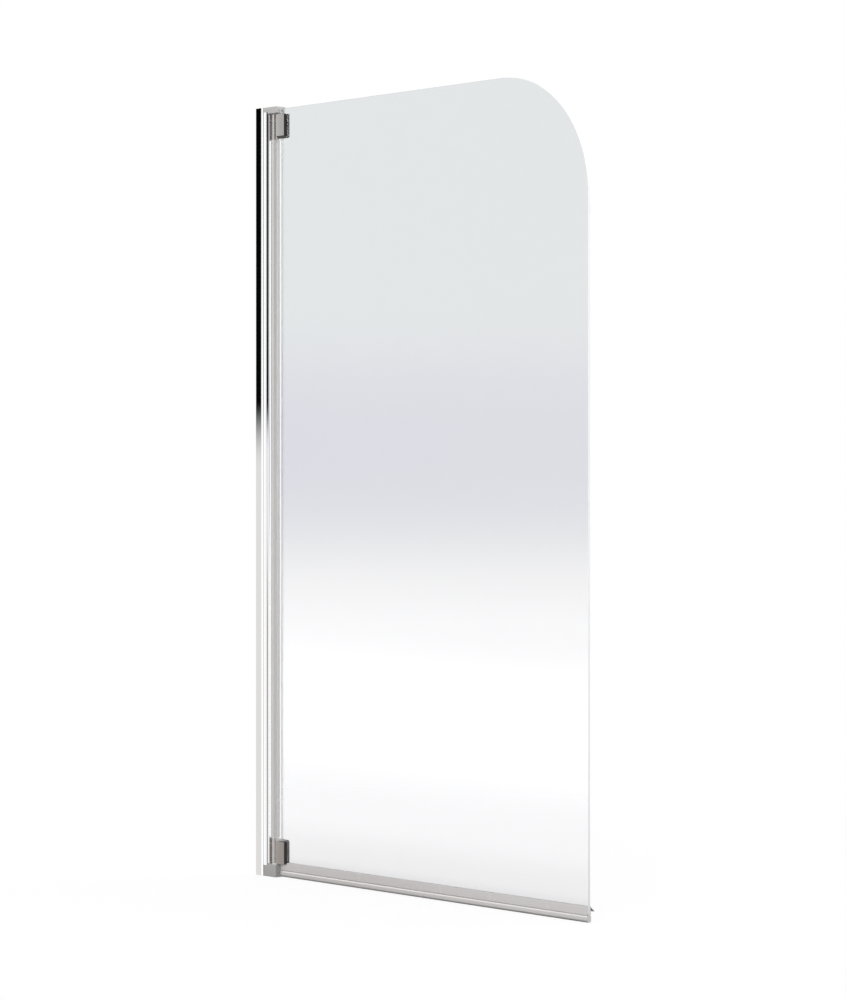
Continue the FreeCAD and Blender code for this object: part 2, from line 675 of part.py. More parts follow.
# ---- build ----
def save(name, shape):
    """Write one piece to its own file and print its size."""
    shape.exportStep("parts/" + name + ".step")
    size = shape.BoundBox
    print(f"{name}: solids {len(shape.Solids)}, valid {shape.isValid()}, "
          f"x {size.XMin:.2f}..{size.XMax:.2f}, y {size.YMin:.2f}..{size.YMax:.2f}, "
          f"z {size.ZMin:.2f}..{size.ZMax:.2f}")


def main():
    """Build every piece."""
    os.makedirs("parts", exist_ok=True)
    plate_feet = (low_plate_foot, high_plate_foot)
    save("wall_channel", make_wall_channel())
    save("channel_plug", make_channel_plug())
    save("adjust_screws", make_adjust_screws())
    save("adjust_nuts", make_adjust_nuts())
    save("screw_covers", make_screw_covers())
    save("pivot_profile", make_pivot_profile())
    save("top_cap", make_top_cap())
    save("bottom_cap", make_bottom_cap())
    save("top_cap_screws", make_cap_screws(TOP_CAP_PLATE, 0, SCREEN_HEIGHT))
    save("bottom_cap_screws", make_cap_screws(BOTTOM_CAP_PLATE, 180, 0))
    save("top_pin", make_pin(high_barrel_top - PIN_IN_BARREL, cap_nose_foot + PIN_IN_TOP_CAP))
    save("bottom_pin", make_pin(BOTTOM_CAP_NOSE - PIN_IN_BOTTOM_CAP,
                                low_barrel_foot + PIN_IN_BARREL))
    save("thrust_washer", make_thrust_washer())
    save("top_bush", make_bush(high_barrel_top, -1))
    save("bottom_bush", make_bush(low_barrel_foot, 1))
    for name, foot, way in (("top", high_barrel_foot, -1), ("bottom", low_barrel_foot, 1)):
        plate_foot = foot + PLATE_INSET
        save(name + "_hinge", make_hinge(foot, way))
        save(name + "_front_plate", make_front_plate(plate_foot, way))
        save(name + "_front_gasket", make_gasket(plate_foot, -1))
        save(name + "_back_gasket", make_gasket(plate_foot, 1))
        save(name + "_clamp_screws", make_clamp_screws(plate_foot))
    save("glass_sleeves", make_glass_sleeves(plate_feet))
    save("glass_panel", make_glass(plate_feet))
    save("vertical_seal", make_vertical_seal())
    save("bottom_seal", make_bottom_seal())


main()
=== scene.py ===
"""Looks of a hinged glass bath screen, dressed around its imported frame.

Lengths are in metres. +X runs from the wall to the free edge of the glass, +Y towards the
bath and +Z up.
"""
import logging
import math
from dataclasses import dataclass
from enum import Enum
from typing import Callable, Iterable, Sequence

import bmesh
import bpy
from mathutils import Matrix, Vector


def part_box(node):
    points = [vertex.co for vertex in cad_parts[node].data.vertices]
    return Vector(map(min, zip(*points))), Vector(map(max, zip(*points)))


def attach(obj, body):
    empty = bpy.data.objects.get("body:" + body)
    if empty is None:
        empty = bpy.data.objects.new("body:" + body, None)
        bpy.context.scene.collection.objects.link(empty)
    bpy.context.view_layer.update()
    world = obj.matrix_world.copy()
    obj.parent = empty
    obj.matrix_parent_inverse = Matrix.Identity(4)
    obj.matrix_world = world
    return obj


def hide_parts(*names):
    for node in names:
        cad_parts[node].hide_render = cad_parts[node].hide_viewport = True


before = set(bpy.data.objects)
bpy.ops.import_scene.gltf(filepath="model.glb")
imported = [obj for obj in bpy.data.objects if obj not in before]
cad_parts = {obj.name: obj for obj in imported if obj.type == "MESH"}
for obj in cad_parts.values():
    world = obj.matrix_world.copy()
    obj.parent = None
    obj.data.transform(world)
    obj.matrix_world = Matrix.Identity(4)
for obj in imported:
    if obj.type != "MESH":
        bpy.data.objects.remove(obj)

MM = 0.001
ALONG_X = Vector((1, 0, 0))
ALONG_Y = Vector((0, 1, 0))
ALONG_Z = Vector((0, 0, 1))
HARD_ANGLE = math.radians(32)
EASED_ANGLE = math.radians(30)
SAME_AREA = 20 * MM * MM

Colour = tuple[float, float, float]
log = logging.getLogger("bath_screen")


# ---------------------------------------------------------------- shaping meshes
class Cut(Enum):
    """What a boolean does with its second shape."""

    REMOVE = "DIFFERENCE"
    JOIN = "UNION"


def pull(bm: bmesh.types.BMesh, way: Vector) -> None:
    """Pull every face of a flat mesh into a closed bar.

    Args:
        bm: mesh with flat faces only.
        way: direction and length of the bar.
    """
    grown = bmesh.ops.extrude_face_region(bm, geom=bm.faces[:], use_keep_orig=True)
    moved = [item for item in grown["geom"] if isinstance(item, bmesh.types.BMVert)]
    bmesh.ops.translate(bm, verts=moved, vec=way)
    bmesh.ops.recalc_face_normals(bm, faces=bm.faces[:])


def bar(section: Sequence[Vector], way: Vector, rounds: dict[int, float] | None = None,
        steps: int = 6) -> bmesh.types.BMesh:
    """Closed bar from the corners of its section.

    Args:
        section: corners, in order.
        way: direction and length of the bar.
        rounds: radius for each corner to round, by its place in the section.
        steps: facets in each rounded corner.

    Returns:
        The bar's mesh.
    """
    bm = bmesh.new()
    corners = [bm.verts.new(point) for point in section]
    bm.faces.new(corners)
    for place, radius in (rounds or {}).items():
        bmesh.ops.bevel(bm, geom=[corners[place]], offset=radius, offset_type="OFFSET",
                        segments=steps, profile=0.5, affect="VERTICES", material=-1)
    pull(bm, way)
    return bm


def block(low: Vector, high: Vector) -> bmesh.types.BMesh:
    """Closed block between two corners."""
    bm = bmesh.new()
    size = high - low
    place = Matrix.Translation((low + high) / 2) @ Matrix.Diagonal((*size, 1))
    bmesh.ops.create_cube(bm, size=1, matrix=place)
    return bm


def level_corners(x: tuple[float, float], y: tuple[float, float], z: float) -> list[Vector]:
    """Corners of a level rectangle, from its ends along X and Y."""
    return [Vector((x[0], y[0], z)), Vector((x[1], y[0], z)), Vector((x[1], y[1], z)),
            Vector((x[0], y[1], z))]


def upright_corners(x: tuple[float, float], z: tuple[float, float], y: float) -> list[Vector]:
    """Corners of an upright rectangle, from its ends along X and Z."""
    return [Vector((x[0], y, z[0])), Vector((x[1], y, z[0])), Vector((x[1], y, z[1])),
            Vector((x[0], y, z[1]))]


def rod(foot: Vector, way: Vector, radius: float, steps: int = 48) -> bmesh.types.BMesh:
    """Closed round bar.

    Args:
        foot: centre of its first end.
        way: direction and length.
        radius: its radius.
        steps: facets around it.

    Returns:
        The bar's mesh.
    """
    bm = bmesh.new()
    turn = ALONG_Z.rotation_difference(way).to_matrix().to_4x4()
    bmesh.ops.create_cone(bm, cap_ends=True, cap_tris=False, segments=steps, radius1=radius,
                          radius2=radius, depth=way.length,
                          matrix=Matrix.Translation(foot + way / 2) @ turn)
    return bm


def lathe(outline: Sequence[tuple[float, float]], foot: Vector, axis: Vector,
          steps: int = 48) -> bmesh.types.BMesh:
    """Solid of revolution.

    Args:
        outline: (radius, height) of each corner, from the axis round to the axis again.
        foot: point on the axis at height 0.
        axis: unit direction of the heights.
        steps: facets around it.

    Returns:
        The turned mesh.
    """
    bm = bmesh.new()
    side = axis.orthogonal().normalized()
    points = [bm.verts.new(foot + side * radius + axis * height) for radius, height in outline]
    edges = [bm.edges.new(pair) for pair in zip(points, points[1:])]
    bmesh.ops.spin(bm, geom=points + edges, cent=foot, axis=axis, angle=math.tau, steps=steps,
                   use_merge=True)
    bmesh.ops.remove_doubles(bm, verts=bm.verts[:], dist=1e-7)
    bmesh.ops.recalc_face_normals(bm, faces=bm.faces[:])
    return bm


def eased(bm: bmesh.types.BMesh, width: float, steps: int = 2,
          wanted: Callable[[bmesh.types.BMEdge], bool] | None = None) -> bmesh.types.BMesh:
    """Break the sharp edges of a closed mesh.

    Args:
        bm: the mesh.
        width: how far the new round reaches from each edge.
        steps: facets in the round.
        wanted: picks the edges, or None for every sharp one.

    Returns:
        The same mesh.
    """
    edges = [edge for edge in bm.edges if len(edge.link_faces) == 2
             and edge.calc_face_angle(0) > EASED_ANGLE and (wanted is None or wanted(edge))]
    bmesh.ops.bevel(bm, geom=edges, offset=width, offset_type="OFFSET", segments=steps,
                    profile=0.5, affect="EDGES", material=-1, clamp_overlap=True)
    return bm


def sliced(bm: bmesh.types.BMesh, point: Vector, out: Vector) -> bmesh.types.BMesh:
    """Cut away what lies beyond a plane and close the cut.

    Args:
        bm: a closed mesh.
        point: a point on the plane.
        out: the plane's normal, towards what goes.

    Returns:
        The same mesh.
    """
    cut = bmesh.ops.bisect_plane(bm, geom=bm.verts[:] + bm.edges[:] + bm.faces[:], dist=1e-7,
                                 plane_co=point, plane_no=out, clear_outer=True)
    rim = [item for item in cut["geom_cut"] if isinstance(item, bmesh.types.BMEdge)]
    bmesh.ops.holes_fill(bm, edges=rim, sides=0)
    bmesh.ops.recalc_face_normals(bm, faces=bm.faces[:])
    return bm


def combined(base: bmesh.types.BMesh, tools: Iterable[bmesh.types.BMesh],
             cut: Cut) -> bmesh.types.BMesh:
    """Join closed meshes to a base mesh, or cut them from it.

    Args:
        base: the mesh to work on; it is used up.
        tools: the other meshes; they are used up.
        cut: what to do with them.

    Returns:
        A new closed mesh.
    """
    kept = scrap_object(base)
    for tool in tools:
        other = scrap_object(tool)
        boolean = kept.modifiers.new("boolean", "BOOLEAN")
        boolean.operation = cut.value
        boolean.solver = "EXACT"
        boolean.object = other
        depsgraph = bpy.context.evaluated_depsgraph_get()
        mesh = bpy.data.meshes.new_from_object(kept.evaluated_get(depsgraph))
        kept.modifiers.remove(boolean)
        kept.data = mesh
        bpy.data.objects.remove(other)
    bm = bmesh.new()
    bm.from_mesh(kept.data)
    bpy.data.objects.remove(kept)
    return bm


def scrap_object(bm: bmesh.types.BMesh) -> bpy.types.Object:
    """Object for a boolean to work on; the mesh in bm is used up."""
    return placed("scrap", poured("scrap", bm))


def poured(name: str, bm: bmesh.types.BMesh) -> bpy.types.Mesh:
    """Mesh with the shape in bm, which is freed."""
    mesh = bpy.data.meshes.new(name)
    bm.to_mesh(mesh)
    bm.free()
    return mesh


def placed(name: str, data: bpy.types.ID) -> bpy.types.Object:
    """New object in the scene."""
    thing = bpy.data.objects.new(name, data)
    bpy.context.scene.collection.objects.link(thing)
    return thing


def gather(home: bmesh.types.BMesh, extra: bmesh.types.BMesh) -> None:
    """Add a mesh to another one and use it up."""
    scrap = poured("scrap", extra)
    home.from_mesh(scrap)
    bpy.data.meshes.remove(scrap)


def middle_x(node: str) -> float:
    """Middle of a CAD node's box along X."""
    low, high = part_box(node)
    return (low.x + high.x) / 2


def ladder(margin: float, count: int, height: float) -> list[float]:
    """Heights of evenly spaced fixings, the first and last a margin from the ends."""
    step = (height - 2 * margin) / (count - 1)
    return [margin + step * place for place in range(count)]


# ---------------------------------------------------------------- node sheets
class Sheet:
    """Lays out the nodes of one node tree."""

    def __init__(self, tree: bpy.types.NodeTree) -> None:
        """Start on an emptied tree."""
        self.tree = tree
        tree.nodes.clear()

    def add(self, kind: str, inputs: dict[str | int, object] | None = None,
            **settings: object) -> bpy.types.Node:
        """Add a node.

        Args:
            kind: the node's type name.
            inputs: a value or an output socket for each input, by its name or place.
            settings: properties of the node.

        Returns:
            The new node.
        """
        node = self.tree.nodes.new(kind)
        for name, value in settings.items():
            setattr(node, name, value)
        for key, value in (inputs or {}).items():
            if isinstance(value, bpy.types.NodeSocket):
                self.tree.links.new(value, node.inputs[key])
            else:
                node.inputs[key].default_value = value
        return node

    def maths(self, operation: str, *values: object) -> bpy.types.NodeSocket:
        """Result of a Math node on one to three values or sockets."""
        return self.add("ShaderNodeMath", dict(enumerate(values)),
                        operation=operation).outputs[0]

    def ramp(self, value: bpy.types.NodeSocket, low: float, high: float, start: float = 0.0,
             end: float = 1.0) -> bpy.types.NodeSocket:
        """Value that goes smoothly from start to end as the input goes from low to high."""
        node = self.add("ShaderNodeMapRange", {"Value": value, "From Min": low,
                                               "From Max": high, "To Min": start,
                                               "To Max": end}, interpolation_type="SMOOTHSTEP")
        return node.outputs["Result"]

    def blend(self, share: bpy.types.NodeSocket, first: object,
              second: object) -> bpy.types.NodeSocket:
        """Mix of two colours or colour sockets."""
        node = self.add("ShaderNodeMix", data_type="RGBA")
        for place, value in ((0, share), (6, first), (7, second)):
            if isinstance(value, bpy.types.NodeSocket):
                self.tree.links.new(value, node.inputs[place])
            else:
                node.inputs[place].default_value = value
        return node.outputs[2]


def grey(tone: float) -> Colour:
    """Colour with no hue."""
    return (tone, tone, tone)


def opaque(colour: Colour, strength: float = 1.0) -> tuple[float, float, float, float]:
    """Colour with an alpha of 1, scaled by a strength."""
    return (*(channel * strength for channel in colour), 1.0)


def effect_group(name: str, inputs: dict[str, float], output: str,
                 build: Callable[[Sheet, bpy.types.Node], bpy.types.NodeSocket]
                 ) -> bpy.types.NodeTree:
    """Node group that several finishes place with their own values.

    Args:
        name: the group's name.
        inputs: default value of each input.
        output: name of the value it gives.
        build: lays out the group between its input node and its result.

    Returns:
        The group, built once.
    """
    group = bpy.data.node_groups.get(name)
    if group is not None:
        return group
    group = bpy.data.node_groups.new(name, "ShaderNodeTree")
    for label, value in inputs.items():
        socket = group.interface.new_socket(label, in_out="INPUT", socket_type="NodeSocketFloat")
        socket.default_value = value
    group.interface.new_socket(output, in_out="OUTPUT", socket_type="NodeSocketFloat")
    sheet = Sheet(group)
    start = sheet.add("NodeGroupInput")
    sheet.add("NodeGroupOutput", {output: build(sheet, start)})
    return group


def drawn_lines(sheet: Sheet, start: bpy.types.Node) -> bpy.types.NodeSocket:
    """Fine lines that run the length of a drawn or extruded piece."""
    place = sheet.add("ShaderNodeTexCoord").outputs["Object"]
    squeeze = sheet.add("ShaderNodeCombineXYZ", {0: start.outputs["Across X"],
                                                 1: start.outputs["Across Y"],
                                                 2: start.outputs["Across Z"]})
    stretched = sheet.add("ShaderNodeVectorMath", {0: place, 1: squeeze.outputs[0]},
                          operation="MULTIPLY")
    noise = sheet.add("ShaderNodeTexNoise", {"Vector": stretched.outputs[0], "Scale": 1.0,
                                             "Detail": 3.0, "Roughness": 0.6})
    return noise.outputs["Fac"]


def soft_clouds(sheet: Sheet, start: bpy.types.Node) -> bpy.types.NodeSocket:
    """Cloudy change between two values, as from handling or a moulding's sheen."""
    place = sheet.add("ShaderNodeTexCoord").outputs["Object"]
    noise = sheet.add("ShaderNodeTexNoise", {"Vector": place, "Scale": start.outputs["Scale"],
                                             "Detail": 4.0, "Roughness": 0.55})
    node = sheet.add("ShaderNodeMapRange", {"Value": noise.outputs["Fac"], "From Min": 0.3,
                                            "From Max": 0.7, "To Min": start.outputs["Low"],
                                            "To Max": start.outputs["High"]})
    return node.outputs["Result"]


def fine_grain(sheet: Sheet, start: bpy.types.Node) -> bpy.types.NodeSocket:
    """Even, fine grain of a moulded or ground surface."""
    place = sheet.add("ShaderNodeTexCoord").outputs["Object"]
    cells = sheet.add("ShaderNodeTexVoronoi", {"Vector": place, "Scale": start.outputs["Scale"]},
                      feature="SMOOTH_F1")
    return cells.outputs["Distance"]


# ---------------------------------------------------------------- finishes
@dataclass(frozen=True)
class Lines:
    """Drawn lines on a surface: how often they change along each axis, and their depth."""

    across: tuple[float, float, float] = (900.0, 900.0, 3.0)
    depth: float = 0.002 * MM


@dataclass(frozen=True)
class Finish:
    """Surface of a piece: a metal, a plastic or a clear material.

    Args:
        name: the material's name.
        colour: base colour.
        shade: how much darker the clouds of the colour are.
        rough: roughness, from its least to its most.
        metallic: 1 for a metal.
        clear: share of light that passes through.
        ior: index of refraction.
        cloud: clouds in each metre.
        lines: drawn lines, if it has them.
        grain: grain in each metre and its depth, if it has any.
        sheen: coat weight of a lacquered or skinned surface.
        skin: index of refraction of the coat.
        skin_rough: roughness of the coat.
        solid: share of the light that straight lines of sight don't pass.
    """

    name: str
    colour: Colour
    shade: float = 0.03
    rough: tuple[float, float] = (0.3, 0.4)
    metallic: float = 0.0
    clear: float = 0.0
    ior: float = 1.5
    cloud: float = 18.0
    lines: Lines | None = None
    grain: tuple[float, float] | None = None
    sheen: float = 0.0
    skin: float = 1.5
    skin_rough: float = 0.12
    solid: float = 1.0

    def material(self) -> bpy.types.Material:
        """Build the material, or give the one that was built before.

        Returns:
            The material.
        """
        known = bpy.data.materials.get(self.name)
        if known is not None:
            return known
        material = bpy.data.materials.new(self.name)
        material.use_nodes = True
        sheet = Sheet(material.node_tree)
        clouds = effect_group("soft_clouds", {"Scale": 18.0, "Low": 0.0, "High": 1.0}, "Value",
                              soft_clouds)
        tone = sheet.add("ShaderNodeGroup", {"Scale": self.cloud * 0.6}, node_tree=clouds)
        colour = sheet.blend(tone.outputs[0], opaque(self.colour, 1.0 - self.shade),
                             opaque(self.colour))
        shader = sheet.add("ShaderNodeBsdfPrincipled", {
            "Base Color": colour, "Roughness": self.rough[0], "Metallic": self.metallic,
            "Transmission Weight": self.clear, "IOR": self.ior, "Coat Weight": self.sheen,
            "Coat Roughness": self.skin_rough, "Coat IOR": self.skin, "Alpha": self.solid})
        if self.rough[1] > self.rough[0]:
            sheen = sheet.add("ShaderNodeGroup", {"Scale": self.cloud, "Low": self.rough[0],
                                                  "High": self.rough[1]}, node_tree=clouds)
            sheet.tree.links.new(sheen.outputs[0], shader.inputs["Roughness"])
        height = self.relief(sheet)
        if height is not None:
            bump = sheet.add("ShaderNodeBump", {"Height": height, "Distance": self.depth(),
                                                "Strength": 1.0})
            sheet.tree.links.new(bump.outputs[0], shader.inputs["Normal"])
        sheet.add("ShaderNodeOutputMaterial", {"Surface": shader.outputs[0]})
        return material

    def depth(self) -> float:
        """Depth of the surface's relief."""
        return self.lines.depth if self.lines else self.grain[1]

    def relief(self, sheet: Sheet) -> bpy.types.NodeSocket | None:
        """Height of the surface's relief, from 0 to 1, if it has one."""
        if self.lines:
            names = ("Across X", "Across Y", "Across Z")
            group = effect_group("drawn_lines", dict.fromkeys(names, 1.0), "Value", drawn_lines)
            node = sheet.add("ShaderNodeGroup", node_tree=group)
            for name, value in zip(names, self.lines.across):
                node.inputs[name].default_value = value
            return node.outputs[0]
        if self.grain:
            group = effect_group("fine_grain", {"Scale": 1500.0}, "Value", fine_grain)
            node = sheet.add("ShaderNodeGroup", node_tree=group)
            node.inputs["Scale"].default_value = self.grain[0]
            return node.outputs[0]
        return None


ALONG_PANE = (3.0, 900.0, 900.0)
BRIGHT_ALUMINIUM = Finish("bright_aluminium", (0.87, 0.87, 0.875), shade=0.015,
                          rough=(0.012, 0.025), metallic=1.0, cloud=9.0,
                          lines=Lines(depth=0.0003 * MM))
POLISHED_CHROME = Finish("polished_chrome", (0.43, 0.415, 0.405), shade=0.02,
                         rough=(0.012, 0.03), metallic=1.0, cloud=60.0)
SATIN_CHROME = Finish("satin_chrome", (0.56, 0.53, 0.515), shade=0.03, rough=(0.26, 0.3),
                      metallic=1.0, cloud=60.0, grain=(2600.0, 0.0015 * MM))
CAP_GREY = Finish("cap_grey", (0.45, 0.44, 0.43), shade=0.04, rough=(0.3, 0.42), cloud=45.0,
                  grain=(2200.0, 0.004 * MM), sheen=0.25)
COVER_GREY = Finish("cover_grey", (0.52, 0.52, 0.53), shade=0.04, rough=(0.32, 0.45),
                    cloud=80.0, grain=(2200.0, 0.004 * MM))
PANE_GLASS = Finish("pane_glass", (0.765, 0.765, 0.775), shade=0.006, rough=(0.0, 0.0),
                    clear=1.0, cloud=4.0)
GLASS_EDGE = Finish("glass_edge", (0.86, 0.88, 0.885), shade=0.06, rough=(0.2, 0.3),
                    cloud=70.0, grain=(3000.0, 0.002 * MM))
SOFT_PVC = Finish("soft_pvc", (0.54, 0.525, 0.52), shade=0.05, rough=(0.2, 0.3),
                  cloud=30.0, lines=Lines(depth=0.004 * MM), sheen=1.0, skin=2.1, solid=0.88)
CLIP_PVC = Finish("clip_pvc", (0.92, 0.92, 0.915), shade=0.05, rough=(0.15, 0.25),
                  cloud=30.0, lines=Lines(depth=0.004 * MM), sheen=0.5, solid=0.09)
DRIP_PVC = Finish("drip_pvc", (0.70, 0.67, 0.66), shade=0.02, rough=(0.2, 0.3),
                  cloud=30.0, lines=Lines(across=ALONG_PANE, depth=0.004 * MM), sheen=1.0,
                  skin=2.1, solid=0.85)
PLAIN_STEEL = Finish("plain_steel", (0.62, 0.62, 0.63), shade=0.05, rough=(0.22, 0.34),
                     metallic=1.0, cloud=150.0,
                     lines=Lines(across=(2500.0, 2500.0, 400.0), depth=0.003 * MM))
ACETAL = Finish("white_acetal", (0.86, 0.86, 0.84), shade=0.03, rough=(0.35, 0.45),
                cloud=120.0, grain=(3000.0, 0.004 * MM))
GASKET = Finish("clear_gasket", (0.90, 0.91, 0.92), shade=0.04, rough=(0.4, 0.55),
                cloud=120.0, grain=(2600.0, 0.01 * MM), solid=0.25)


# ---------------------------------------------------------------- pieces
@dataclass(frozen=True)
class Label:
    """What a new piece is to the frame: its name, body, material slot and CAD nodes."""

    name: str
    body: str
    slot: str
    nodes: tuple[str, ...]


def piece(label: Label, bm: bmesh.types.BMesh, finish: Finish) -> bpy.types.Object:
    """Turn a finished mesh into a piece of the screen.

    Args:
        label: what the piece is to the frame.
        bm: its mesh, in place; it is used up.
        finish: its surface.

    Returns:
        The piece.
    """
    bmesh.ops.remove_doubles(bm, verts=bm.verts[:], dist=1e-6)
    for edge in bm.edges:
        edge.smooth = len(edge.link_faces) == 2 and edge.calc_face_angle(0) < HARD_ANGLE
    for face in bm.faces:
        face.smooth = True
    shape = placed(label.name, poured(label.name, bm))
    shape.data.materials.append(finish.material())
    normals = shape.modifiers.new("flat_faces", "WEIGHTED_NORMAL")
    normals.keep_sharp = True
    normals.weight = 100
    normals.thresh = SAME_AREA
    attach(shape, label.body)
    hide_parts(*label.nodes)
    log.info("%s: %d faces", label.name, len(shape.data.polygons))
    return shape


def second_finish(shape: bpy.types.Object, finish: Finish,
                  wanted: Callable[[bpy.types.MeshPolygon], bool]) -> None:
    """Give some faces of a piece another finish.

    Args:
        shape: the piece.
        finish: their finish.
        wanted: picks the faces.
    """
    shape.data.materials.append(finish.material())
    for face in shape.data.polygons:
        if wanted(face):
            face.material_index = len(shape.data.materials) - 1


def dress(node: str, finish: Finish) -> None:
    """Give a CAD node that keeps its shape its finish."""
    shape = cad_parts[node]
    shape.data.materials.clear()
    shape.data.materials.append(finish.material())
    log.info("%s: %s", node, finish.name)


def cross_recess(top: Vector, way: Vector, reach: float, depth: float) -> bmesh.types.BMesh:
    """Cutter for a cross recess in a screw's head.

    Args:
        top: centre of the head's face.
        way: unit direction into the head.
        reach: half the width of the cross.
        depth: depth of the recess.

    Returns:
        The cutter's mesh.
    """
    side = way.orthogonal().normalized()
    other = way.cross(side)
    arm = reach * 0.3
    quarter = [(reach, -arm), (reach, arm), (arm, arm)]
    section = []
    for turn in range(4):
        spin = Matrix.Rotation(turn * math.pi / 2, 2)
        for point in quarter:
            u, v = spin @ Vector(point)
            section.append(top - way * depth * 0.1 + side * u + other * v)
    bm = bar(section, way * depth * 1.1)
    deep = [vert for vert in bm.verts if (vert.co - top).dot(way) > 0]
    bmesh.ops.scale(bm, vec=(0.55, 0.55, 0.55), verts=deep,
                    space=Matrix.Translation(-(top + way * depth)))
    return bm


def flat_screw(face: Vector, way: Vector, head: float, shank: float,
               length: float) -> bmesh.types.BMesh:
    """Countersunk screw without its recess.

    Args:
        face: centre of the head's face.
        way: unit direction from the head to the tip.
        head: radius of the head.
        shank: radius of the shank.
        length: overall length.

    Returns:
        The screw's mesh.
    """
    tip = 0.7 * MM
    outline = [(0, 0), (head - 0.2 * MM, 0), (head, 0.15 * MM), (shank, head - shank),
               (shank, length - tip), (shank - tip, length), (0, length)]
    return lathe(outline, face, way)


def countersink(face: Vector, way: Vector, head: float, shank: float,
                deep: float) -> bmesh.types.BMesh:
    """Cutter for a countersunk screw's hole.

    Args:
        face: centre of the hole's mouth.
        way: unit direction into the piece.
        head: radius of the mouth.
        shank: radius of the bore.
        deep: depth of the bore.

    Returns:
        The cutter's mesh.
    """
    return lathe([(0, -MM), (head, -MM), (head, 0), (shank, head - shank), (shank, deep),
                  (0, deep)], face, way)


# ---------------------------------------------------------------- wall side
@dataclass
class WallSide:
    """Channel on the wall, its plug, and the covered clamp screws on its bath side."""

    wall: float = 1.2 * MM
    web: float = 1.5 * MM
    crown: float = 0.8 * MM
    crown_steps: int = 18
    corner: float = 0.15 * MM
    lip: tuple[float, float] = (0.33 * MM, 0.75 * MM)
    wall_hole: float = 2.75 * MM
    wall_margin: float = 100 * MM
    wall_count: int = 4
    clamp_inset: float = 4.8 * MM
    clamp_margin: float = 200 * MM
    clamp_count: int = 3
    clamp_hole: float = 1.85 * MM
    cover_radius: float = 4.2 * MM
    cover_room: float = 2.0 * MM
    cover_wall: float = 0.8 * MM
    cover_dome: float = 0.75 * MM
    plug_lip: float = 1.5 * MM
    plug_edge: float = 0.4 * MM

    def build(self) -> None:
        """Make and dress every piece that stays on the wall."""
        self.low, self.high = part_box("wall_channel")
        self.clamp_x = self.high.x - self.clamp_inset
        self.clamp_heights = ladder(self.clamp_margin, self.clamp_count, self.high.z)
        self.channel()
        self.plug()
        self.covers()
        dress("adjust_screws", PLAIN_STEEL)
        dress("adjust_nuts", PLAIN_STEEL)

    def channel(self) -> None:
        """Extruded channel with its wall holes and clamp holes."""
        half, reach = self.high.y, self.high.x
        inner = half - self.wall
        face = []
        for step in range(self.crown_steps + 1):
            share = step / self.crown_steps
            face.append(Vector(((reach - self.lip[0]) * share,
                                -half - self.crown * (1 - (1 - share) ** 2), 0)))
        section = face + [
            Vector((reach, self.lip[1] - half - self.crown, 0)),
            Vector((reach, -inner, 0)), Vector((self.web, -inner, 0)),
            Vector((self.web, inner, 0)), Vector((reach, inner, 0)),
            Vector((reach, half, 0)), Vector((0, half, 0))]
        last = self.crown_steps
        rounded = (0, last, last + 2, last + 5, last + 6, last + 7)
        shape = bar(section, ALONG_Z * self.high.z, dict.fromkeys(rounded, self.corner), steps=3)
        holes = [rod(Vector((-self.web, 0, z)), ALONG_X * self.web * 3, self.wall_hole)
                 for z in ladder(self.wall_margin, self.wall_count, self.high.z)]
        holes += [rod(Vector((self.clamp_x, inner - self.wall, z)), ALONG_Y * self.wall * 3,
                      self.clamp_hole, steps=32) for z in self.clamp_heights]
        shape = combined(shape, holes, Cut.REMOVE)
        piece(Label("channel_extrusion", "wall_side", "bright_profile", ("wall_channel",)),
              shape, BRIGHT_ALUMINIUM)

    def plug(self) -> None:
        """Moulded plug in the channel's open top, hollow below."""
        low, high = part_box("channel_plug")
        lip = Vector((self.plug_lip,) * 3)
        shape = eased(block(low, high), self.plug_edge)
        room = block(low + lip - ALONG_Z * 3 * self.plug_lip, high - lip)
        shape = combined(shape, [room], Cut.REMOVE)
        piece(Label("channel_end_plug", "wall_side", "grey_plastic", ("channel_plug",)),
              shape, CAP_GREY)

    def covers(self) -> None:
        """Domed push-on covers over the clamp screws."""
        low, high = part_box("screw_covers")
        tall, room, radius = high.y - low.y, self.cover_room, self.cover_radius
        bore = radius - self.cover_wall
        dome = [(radius - self.cover_dome * (1 - math.cos(angle)),
                 tall - self.cover_dome * (1 - math.sin(angle)))
                for angle in (math.radians(15 * step) for step in range(7))]
        outline = [(0, room), (bore, room), (bore, 0), (radius, 0)] + dome + [(0, tall)]
        shape = bmesh.new()
        for z in self.clamp_heights:
            gather(shape, lathe(outline, Vector((self.clamp_x, low.y, z)), ALONG_Y))
        piece(Label("clamp_screw_covers", "wall_side", "grey_plastic", ("screw_covers",)),
              shape, COVER_GREY)


